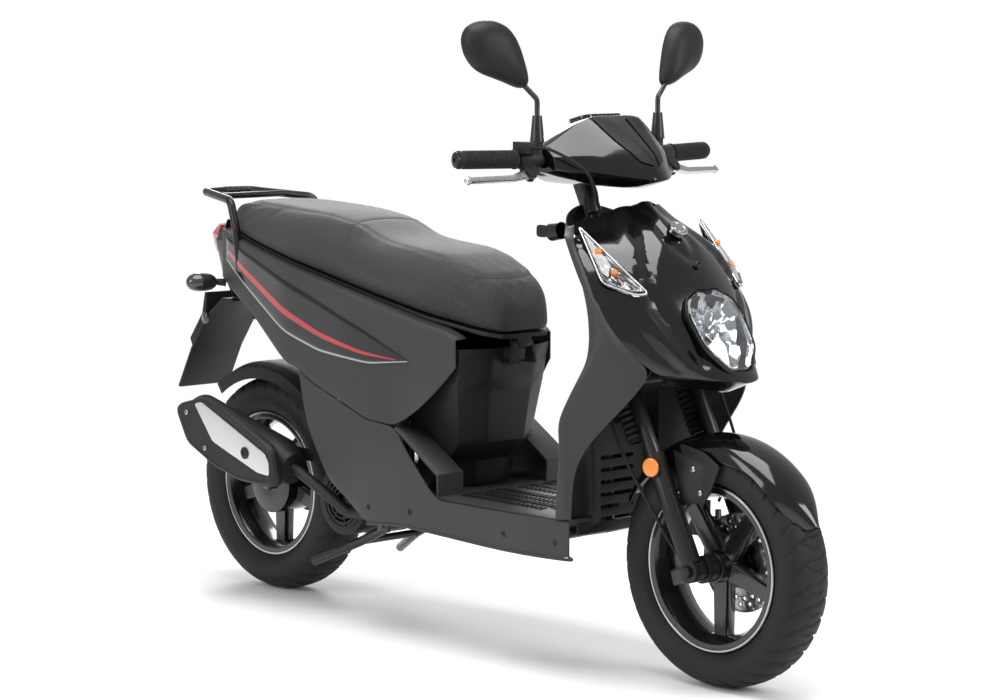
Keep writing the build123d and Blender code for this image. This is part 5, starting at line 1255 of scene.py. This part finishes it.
def body_sides():
    for side, word in ((1, "left"), (-1, "right")):
        skirt = side_surface(f"side_skirt_{word}", skirt_low, skirt_high, grey_plastic, side, across=4)
        cover = side_surface(f"side_cover_{word}", cover_low, cover_high, grey_plastic, side, across=6,
                             ledge=30)
        if side == 1:
            place(skirt, "chassis", "side_skirts")
            place(cover, "chassis", "side_covers")
        else:
            place(skirt, "chassis")
            place(cover, "chassis")
        place(side_surface(f"gloss_blade_{word}", blade_low, blade_high, gloss_black, side, 2.4, 2.6, 4,
                           bevel=0.6), "chassis")
        place(side_surface(f"red_stripe_{word}", stripe_low, stripe_high, red_stripe, side, 2.9, 0.8, 1,
                           bevel=0), "chassis")
        place(side_surface(f"blade_edge_{word}", edge_low, edge_high, pale_line, side, 2.9, 1.4, 1,
                           bevel=0), "chassis")
        # rolled lower lip and screws of the skirt
        lip = [(x, side * (body_half(x, z) - 1), z) for x, z in skirt_low[:5]]
        place(tube(f"skirt_lip_{word}", at_rear(lip), 3.2, grey_plastic, 10), "chassis")
        for n, (x, z) in enumerate(((20, 270), (-118, 262), (300, 262), (440, 262))):
            spot = at_rear([(x, side * (body_half(x, z) - 1.0), z)])[0]
            bolt(f"skirt_screw_{word}_{n}", spot, (0, side, 0), 6.5 if n else 8, "chassis", black_plastic,
                 2.4)


def floor_mat():
    """Raised ribs of the foot mat, a hatched field on each side of the middle tunnel."""
    floor_height = 307.4
    pieces = []
    for side in (1, -1):
        for k in range(19):
            x = front(-585) + k * 12.5
            for n in range(4):
                y = side * (26 + n * 34)
                dx, dy = 5.0, 13.0
                lean = 4.5 * side * (1 if n % 2 else -1)
                outline = [(-dx / 2 - lean, -dy), (dx / 2 - lean, -dy), (dx / 2 + lean, dy),
                           (-dx / 2 + lean, dy)]
                pieces.append(slab("rib", outline, (x, y, floor_height - 0.6), (1, 0, 0), (0, 1, 0), 3.2,
                                   black_plastic, 0.8))
    place(joined("floor_mat_ribs", pieces), "chassis")


seat_cushion()
body_sides()
floor_mat()


# ---------------------------------------------------------------- tyres and rims
def tyre(name, body, node, centre, outer, width, bead):
    """A tyre with curved cross grooves and rounded shoulders."""
    around, across = 720, 56
    theta = np.linspace(0, 2 * pi, around, endpoint=False)[:, None]
    phi = np.radians(np.linspace(-152, 152, across))[None, :]
    tall = outer - bead
    ring = outer - tall * 0.5
    tread = np.clip(1 - (np.abs(phi) / radians(86)) ** 6, 0, 1)
    swell = np.sign(np.sin(phi)) * np.abs(np.sin(phi)) ** 0.86
    side = width / 2 * swell
    rise = ring + tall / 2 * np.sign(np.cos(phi)) * np.abs(np.cos(phi)) ** 0.92
    share = phi / radians(78)
    pitch = 2 * pi / 34
    depth = np.zeros((around, across))

    def groove(offset, centre_line, low, high, wide):
        place_in = (theta - centre_line - offset + pitch / 2) % pitch - pitch / 2
        gap = np.abs(place_in) * outer
        cutting = np.clip(1.6 - gap / wide, 0, 1)
        ends = np.clip((share - low) * 14, 0, 1) * np.clip((high - share) * 14, 0, 1)
        return cutting * ends

    for way in (1, -1):
        bent = way * share
        curve = 0.26 * np.clip(bent, 0, 1) ** 1.4 * 0.6
        depth += groove(0.0 if way == 1 else pitch / 2, curve, -2, 2, 3.0) * ((bent > 0.16) & (bent < 1.02))
        curve = 0.05 - 0.14 * np.abs(share)
        depth += 0.8 * groove(pitch / 4 if way == 1 else 3 * pitch / 4, curve, -2, 2,
                              2.2) * ((bent > -0.12) & (bent < 0.42))
    depth = np.clip(depth, 0, 1) * tread
    rise = rise - depth * 4.2 * np.clip(np.cos(phi * 0.7), 0.3, 1)
    side = side * (1 - depth * 0.012)
    # a raised line and a shallow step on the side wall
    wall = np.exp(-((np.abs(phi) - radians(112)) / radians(3)) ** 2) * 0.9 + np.exp(-((np.abs(phi) - radians(96)) / radians(2)) ** 2) * 0.7
    side = side + np.sign(phi) * wall
    x = centre.x + rise * np.sin(theta)
    z = centre.z + rise * np.cos(theta)
    y = centre.y + side + 0 * theta
    points = np.stack([x, y, z], axis=-1).reshape(-1, 3)
    a = np.arange(around)[:, None] * across
    b = (np.arange(around)[:, None] + 1) % around * across
    k = np.arange(across)[None, :]
    n = (k + 1) % across
    faces = np.stack([a + k, b + k, b + n, a + n], axis=-1).reshape(-1, 4)
    piece = made_object(name, [tuple(p) for p in points], [tuple(int(i) for i in f) for f in faces],
                        tyre_rubber)
    face_outwards(piece, weld=False)
    piece.data.shade_smooth()
    place(piece, body, node)


def rim_line(name, body, centre, radius, half):
    """The thin machined line round the edge of a rim, on both sides."""
    for side, word in ((1, "left"), (-1, "right")):
        profile = [(0, radius - 2.2), (0.9, radius - 1.6), (0.9, radius + 1.2), (0, radius + 2.0)]
        profile.append(profile[0])
        start = centre + Vector((0, side * half, 0))
        place(lathe(f"{name}_{word}", profile, start, (0, side, 0), bright_edge, 96), body)


def wheels():
    tyre("front_tread_tyre", "front_wheel", "front_tyre", front_axle, front_radius, 110, 152)
    tyre("rear_tread_tyre", "rear_wheel", "rear_tyre", rear_axle, rear_radius, 120, 152)
    rim_line("front_rim_line", "front_wheel", front_axle, 156.5, 42.4)
    rim_line("rear_rim_line", "rear_wheel", rear_axle, 156.5, 42.4)
    for body, centre, side, word in (("front_wheel", front_axle, 1, "front"),
                                     ("rear_wheel", rear_axle, -1, "rear")):
        spot = centre + Vector((0.62 * 150, side * 26, 0.78 * 150))
        stem = [(0, 4.2), (12, 4.2), (13, 5), (22, 5), (24, 4), (24.5, 0.01)]
        inward = Vector((-0.62, side * 0.35, -0.78))
        place(lathe(f"{word}_valve_cap", stem, spot, inward, rubber, 14), body)


# ---------------------------------------------------------------- mirrors and grips
def mirrors():
    outline = [
        (-78, -68), (-62, -72), (-34, -60), (-4, -50), (26, -40), (48, -20), (60, 8), (58, 34), (40, 52),
        (10, 59),
        (-22, 55), (-46, 38), (-62, 10), (-72, -22), (-80, -52),
    ]
    for side, word in ((1, "left"), (-1, "right")):
        centre = Vector((front(-362.9), side * 262, 1190))
        across, upward = Vector((-0.2, side * 0.98, 0)).normalized(), Vector((-0.06, 0, 1)).normalized()
        ahead_of = Vector((0.98, side * 0.2, 0.06)).normalized()
        smooth_outline = eased(outline, 16, 2)
        rings = []
        for share, depth in (
            (0.90, -13), (0.965, -14), (1.0, -12), (1.0, -6), (0.985, 2), (0.93, 10), (0.84, 16),
            (0.7, 21.5), (0.5, 25.5), (0.25, 27.5), (0.02, 28),
        ):
            rings.append(
                [centre + across * (-8 + (x + 8) * share) + upward * (-2 + (y + 2) * share) + ahead_of * depth for x, y in smooth_outline]
            )
        head = loft(f"mirror_shell_{word}", rings, black_plastic, level=1, bevel=0, angle=60)
        place(head, f"{word}_mirror", f"mirror_head_{word}")
        glass = slab(
            f"mirror_glass_{word}", [(-8 + (x + 8) * 0.89, -2 + (y + 2) * 0.89) for x, y in smooth_outline],
            centre - ahead_of * 14.6, across, upward, side * 1.2, mirror_glass, 0.3,
        )
        place(glass, f"{word}_mirror")


def grips():
    inner, outer = Vector(at_front([(342.7, 210, 986)])[0]), Vector(at_front([(317.8, 335, 987.5)])[0])
    for side, word, body, node in ((1, "left", "steering", "left_grip"),
                                   (-1, "right", "throttle", "throttle_grip")):
        start, end = (Vector((p.x, side * p.y, p.z)) for p in (inner, outer))
        length = (end - start).length
        profile = [(0, 12), (0, 19), (3, 19.3), (5, 18), (6, 16.6)]
        k = 8.0
        while k < length - 12:
            profile += [(k, 16.2), (k + 0.8, 17.6), (k + 3.0, 17.6), (k + 3.8, 16.2)]
            k += 4.9
        profile += [(length - 6, 17.2), (length - 2, 17.4), (length, 16), (length, 11)]
        place(lathe(f"ribbed_grip_{word}", profile, start, end - start, rubber, 36, angle=30), body, node)
        weight = [(length - 1, 12), (length + 1, 15), (length + 3.5, 15), (length + 5, 12.5),
                  (length + 5, 5), (length + 3, 4.5), (length + 3, 0.01)]
        place(lathe(f"bar_end_{word}", weight, start, end - start, satin_black, 32), body)


# ---------------------------------------------------------------- front fork and guard
def front_end():
    for side, word in ((1, "left"), (-1, "right")):
        top = steer_point(0, side * 85.5, 387)
        foot = steer_point(0, side * 85.5, 268)
        length = (top - foot).length
        ribs = 9
        profile = [(0, 13), (0, 17), (4, 17.5)]
        for k in range(ribs):
            base = 6 + k * (length - 12) / ribs
            pitch = (length - 12) / ribs
            profile += [(base, 16), (base + pitch * 0.5, 21.5), (base + pitch, 16)]
        profile += [(length - 4, 18), (length, 18), (length, 13)]
        boot = lathe(f"fork_gaiter_{word}", profile, foot, top - foot, rubber, 32, angle=25)
        if side == 1:
            place(boot, "steering", "fork_bellows")
        else:
            place(boot, "steering")
        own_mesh(boot)
        # amber side reflector with its dark holder
        spot = steer_point(34, side * 111, 208)
        cup = [(0, 9), (2, 19.5), (6, 20), (7, 18.5)]
        disc = [(6.4, 18), (8.6, 17), (9.6, 12), (10, 0.01)]
        aim = (0.15, side, 0)
        place(lathe(f"reflector_cup_{word}", cup + [(0, 9)], spot - Vector((0, side * 8, 0)), aim,
                    black_plastic, 32), "fork_lower")
        place(lathe(f"reflector_{word}", disc, spot - Vector((0, side * 8, 0)), aim, amber, 32),
              "fork_lower")
        arm = [steer_point(2, side * 92, 212), steer_point(18, side * 100, 210),
               steer_point(33, side * 102, 208)]
        place(tube(f"reflector_arm_{word}", arm, 3.5, black_plastic, 10), "fork_lower")


def front_guard():
    """The front mudguard: a gloss arch with a ridge and a pointed tip."""
    rows = []
    steps = 22
    for k in range(steps + 1):
        share = k / steps
        turn = radians(152 - 128 * share)
        radius = 247 + 5 * sin(pi * share) + 16 * max(0, share - 0.75) ** 1.2
        half = 58 - 3 * share
        if share > 0.82:
            half *= 1 - 0.72 * ((share - 0.82) / 0.18) ** 1.6
        drop = 26 + 34 * max(0, 1 - abs(share - 0.42) / 0.3) * 0.9
        x, z = cos(turn), sin(turn)
        row = []
        for y, sink in ((0, 0), (0.35, 1.2), (0.66, 6), (0.88, 14), (1.0, 26), (1.04, drop + 4)):
            spot = front_axle + Vector((x * (radius - sink), y * half, z * (radius - sink)))
            row.append((spot.x, spot.y, spot.z))
        rows.append(both_sides(row))
    guard = panel("front_guard", rows, gloss_black, 2.6, 2, columns_sharp={5: 0.35}, outwards=(0, 0, 1),
                  bevel=0.8)
    place(guard, "fork_lower", "front_fender")
    # dark brackets between the fork legs and the guard, with two bolts each
    for side, word in ((1, "left"), (-1, "right")):
        corners = at_front([(640, 0, 462), (700, 0, 452), (742, 0, 428), (722, 0, 384), (697, 0, 344),
                            (668, 0, 380)])
        outline = [(p[0] - front(0), p[2] - front_axle.z) for p in corners]
        plate = slab(
            f"guard_bracket_{word}", eased(outline, 8), (front(0), side * 64, front_axle.z),
            (1, 0, 0), (0, 0, 1), -4.0 if side == 1 else 4.0, black_plastic, 1.0,
        )
        place(plate, "fork_lower")
        for n, (x, z) in enumerate(((676, 417), (694, 374))):
            bolt(f"guard_bolt_{word}_{n}", at_front([(x, side * 67.5, z)])[0], (0, side, 0), 6,
                 "fork_lower", steel, 4)


# ---------------------------------------------------------------- badge, screws and small fittings
def nose_fittings():
    badge = Vector(at_front([(566, 0, 853)])[0])
    out = Vector((0.62, 0, 0.78)).normalized()
    disc = [(0, 19), (3, 19.5), (4.5, 18.8), (4.5, 15.5), (3.2, 15), (3.2, 11), (4.2, 10.5), (4.4, 0.01)]
    place(lathe("round_badge", [(-6, 19)] + disc, badge + out * 3.5, out, chrome, 40, angle=25), "chassis")
    bolt("nose_screw", at_front([(621, 0, 792)])[0], (0.72, 0, 0.69), 6.5, "chassis", satin_black, 3)


# ---------------------------------------------------------------- exhaust guard
def muffler_guard():
    plate = [(-751, 404), (-741, 418), (-649, 441), (-560, 415), (-413, 352), (-392, 282), (-412, 268),
             (-520, 270), (-616, 294), (-712, 336)]
    origin = Vector((rear(0), -199, rear_axle.z))
    flat = [(x - drawn_rear_axle, z - 236.4) for x, z in plate]
    smooth_plate = eased(flat, 16, 3)
    cx = sum(p[0] for p in smooth_plate) / len(smooth_plate)
    cz = sum(p[1] for p in smooth_plate) / len(smooth_plate)
    rings = []
    for share, depth in ((0.96, 12), (1.0, 8), (1.0, -2), (0.975, -8), (0.93, -11.5), (0.90, -12.5),
                         (0.86, -11), (0.8, -11)):
        rings.append([origin + Vector((cx + (x - cx) * share, depth, cz + (z - cz) * share)) for x,
                      z in smooth_plate])
    guard = loft("exhaust_guard", rings, exhaust_black, level=0, bevel=0, angle=30)
    place(guard, "power_unit", "muffler_shield")
    silver = [(-674, 424), (-651, 430), (-430, 340), (-416, 322), (-414, 294), (-454, 297), (-610, 348)]
    flat = eased([(x - drawn_rear_axle, z - 236.4) for x, z in silver], 8, 3)
    insert = slab("exhaust_guard_insert", flat, origin + Vector((0, -10.5, 0)), (1, 0, 0), (0, 0, 1), 3.4,
                  brushed_insert, 0.8)
    place(insert, "power_unit")
    for n, (x, z, r) in enumerate(((-495, 335, 13), (-705, 402, 6), (-640, 330, 6))):
        spot = (rear(x - drawn_rear_axle), -213.5 if n == 0 else -210, z)
        bolt(f"exhaust_guard_bolt_{n}", spot, (0, -1, 0), r, "power_unit", satin_black if n == 0 else steel,
             3.2)


wheels()
mirrors()
grips()
front_end()
front_guard()
nose_fittings()
muffler_guard()


# ---------------------------------------------------------------- rear lamps and plate holder
def rear_fittings():
    for side, word in ((1, "left"), (-1, "right")):
        root = at_rear([(-738, side * 74, 676)])[0]
        neck = at_rear([(-752, side * 96, 678)])[0]
        place(tube(f"rear_indicator_stalk_{word}", [root, neck], lambda t: 9 - 2.5 * t, black_plastic, 14),
              "chassis")
        body = [(-4, 6), (0, 12), (8, 17), (20, 19.5), (34, 20), (46, 18.5), (50, 17)]
        lens = [(34, 20.4), (48, 19.2), (58, 15), (64, 8), (66, 0.01)]
        start = Vector(neck) + Vector((4, side * 2, 0))
        way = Vector((-0.28, side * 0.96, 0.02)).normalized()
        place(lathe(f"rear_indicator_body_{word}", body, start, way, black_plastic, 28), "chassis")
        place(lathe(f"rear_indicator_lens_{word}", lens, start, way, smoked_lens, 28), "chassis")
        # small round reflector on each side of the plate holder
        disc = [(-3, 9), (0, 13), (3, 14), (5, 13), (6.5, 10), (7, 0.01)]
        spot = at_rear([(-819, side * 69, 591)])[0]
        place(lathe(f"plate_reflector_{word}", disc, spot, (-0.25, side, 0), smoked_lens, 28), "chassis")


def shock_coil():
    """The painted coil of the rear shock, wound between its two seats."""
    low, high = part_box("shock_spring")
    low, high = low / MM, high / MM
    radius = 27.0
    wire = 4.5
    top = Vector((high.x - radius - 3, (low.y + high.y) / 2, high.z - 8))
    foot = Vector((low.x + radius + 3, (low.y + high.y) / 2, low.z + 8))
    along_way = (top - foot).normalized()
    first, second = axes_for(along_way)
    turns, steps = 9, 20
    line = []
    for k in range(turns * steps + 1):
        t = k / (turns * steps)
        turn = 2 * pi * k / steps
        line.append(foot + (top - foot) * t + (first * cos(turn) + second * sin(turn)) * (radius - wire))
    coil = tube("shock_coil", line, wire, spring_paint, 10, 0)
    place(coil, "shock_upper", "shock_spring")
    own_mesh(coil)


def front_cables():
    """The speedometer cable and the brake hose."""
    speedo = at_front([
        (667.6, -52, 225.4), (633.6, -66, 253.4), (597.6, -100, 339.4), (545.6, -120, 434.4),
        (499.6, -121, 529.4),
        (477.6, -118, 589.4), (439.6, -88, 669.4), (395.6, -60, 779.4), (369.6, -50, 909.4),
    ])
    bar = front(-340.9)
    hose = [(bar + 25.2, -197, 1007), (bar + 62, -190, 1006), (bar + 98, -140, 972), (bar + 90, -98, 930),
            (bar + 64, -60, 888)] + at_front([
        (447.6, -40, 799.4), (483.6, 30, 699.4), (559.6, 88, 601.4), (589.6, 116, 504.4),
        (619.6, 120, 419.4),
        (619.6, 119, 369.4), (605.6, 88, 341.4), (623.6, 60, 337.4),
    ])
    cable = tube("speedometer_cable", speedo, 3.4, rubber, 12, 10)
    line = tube("brake_hose", hose, 3.0, rubber, 12, 10)
    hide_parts("fork_cables")
    for piece in (cable, line):
        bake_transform(piece)


def engine_fittings():
    """Grille of the fan shroud and bolts round the cases."""
    low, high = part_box("fan_shroud")
    low, high = low / MM, high / MM
    centre = Vector((rear_axle.x + 312, low.y, 240.4))
    for n, radius in enumerate((18, 28, 38, 48, 58)):
        ring = [(0, radius - 1.8), (2.4, radius - 1.8), (2.4, radius + 1.8), (0, radius + 1.8)]
        place(lathe(f"fan_grille_ring_{n}", ring + ring[:1], centre, (0, -1, 0), black_plastic, 48),
              "power_unit")
    for n in range(8):
        turn = 2 * pi * n / 8 + 0.2
        ends = [centre + Vector((cos(turn) * r, -1.2, sin(turn) * r)) for r in (16, 59)]
        place(tube(f"fan_grille_bar_{n}", ends, 1.8, black_plastic, 8), "power_unit")
    low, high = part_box("engine_case")
    low, high = low / MM, high / MM
    for n, (share_x, share_z) in enumerate(((0.08, 0.3), (0.22, 0.72), (0.45, 0.9), (0.66, 0.8),
                                            (0.84, 0.45), (0.6, 0.12), (0.3, 0.1))):
        spot = (low.x + (high.x - low.x) * share_x, high.y - 1.5, low.z + (high.z - low.z) * share_z)
        bolt(f"belt_cover_bolt_{n}", spot, (0, 1, 0), 6, "power_unit", steel, 5)


rear_fittings()
shock_coil()
front_cables()
engine_fittings()


# ---------------------------------------------------------------- finishes of the frame's own parts
by_node = {
    "frame": frame_paint, "handlebar": frame_paint, "rear_rack": satin_black, "centre_stand": frame_paint,
    "front_fascia": gloss_black, "headset_cover": gloss_black, "front_fender": gloss_black,
    "rear_fender": black_plastic, "rear_mudguard": black_plastic, "inner_fender": black_plastic,
    "leg_shield": grey_plastic, "floorboard": grey_plastic, "side_skirts": grey_plastic,
    "side_covers": grey_plastic, "seat_pedestal": black_plastic, "tail_cover": gloss_black,
    "tail_light": red_lens, "indicators": smoked_lens, "headlight_housing": black_plastic,
    "headlight_lens": clear_lens,
    "storage_bucket": black_plastic, "fuel_tank": frame_paint, "battery": black_plastic,
    "seat_base": black_plastic, "seat_cushion": seat_vinyl, "steering_stem": frame_paint,
    "fork_bellows": rubber,
    "instrument_panel": panel_glass, "left_grip": rubber, "throttle_grip": rubber,
    "lever_perches": black_plastic,
    "fork_cables": rubber, "brake_lever_right": silver_lever, "brake_lever_left": silver_lever,
    "mirror_stem_right": frame_paint, "mirror_stem_left": frame_paint, "mirror_head_right": black_plastic,
    "mirror_head_left": black_plastic, "fork_sliders": fork_paint, "brake_caliper": cast_alloy,
    "front_rim": rim_paint, "front_tyre": tyre_rubber, "brake_disc": disc_steel, "engine_case": cast_alloy,
    "fan_shroud": black_plastic, "exhaust": exhaust_black, "muffler_shield": exhaust_black,
    "air_filter_box": black_plastic, "cooling_fan": black_plastic, "rear_rim": rim_paint,
    "rear_tyre": tyre_rubber,
    "shock_body": fork_paint, "shock_spring": spring_paint, "shock_rod": steel, "kick_lever": steel,
    "ignition_key": black_plastic, "starter_button": black_plastic, "horn_button": black_plastic,
    "indicator_switch": black_plastic, "beam_switch": black_plastic,
}
for name, piece in nodes.items():
    own = piece.data.materials
    for k in range(len(own)):
        own[k] = by_node[name]
    if not piece.hide_render:
        weld = piece.modifiers.new("weld", "WELD")
        weld.merge_threshold = 0.00001
        edge = piece.modifiers.new("edge", "BEVEL")
        edge.width = 0.0008
        edge.segments = 2
        edge.limit_method = "ANGLE"
        edge.angle_limit = radians(35)
        edge.use_clamp_overlap = True
        piece.data.shade_smooth()
        piece.data.set_sharp_from_angle(angle=radians(40))
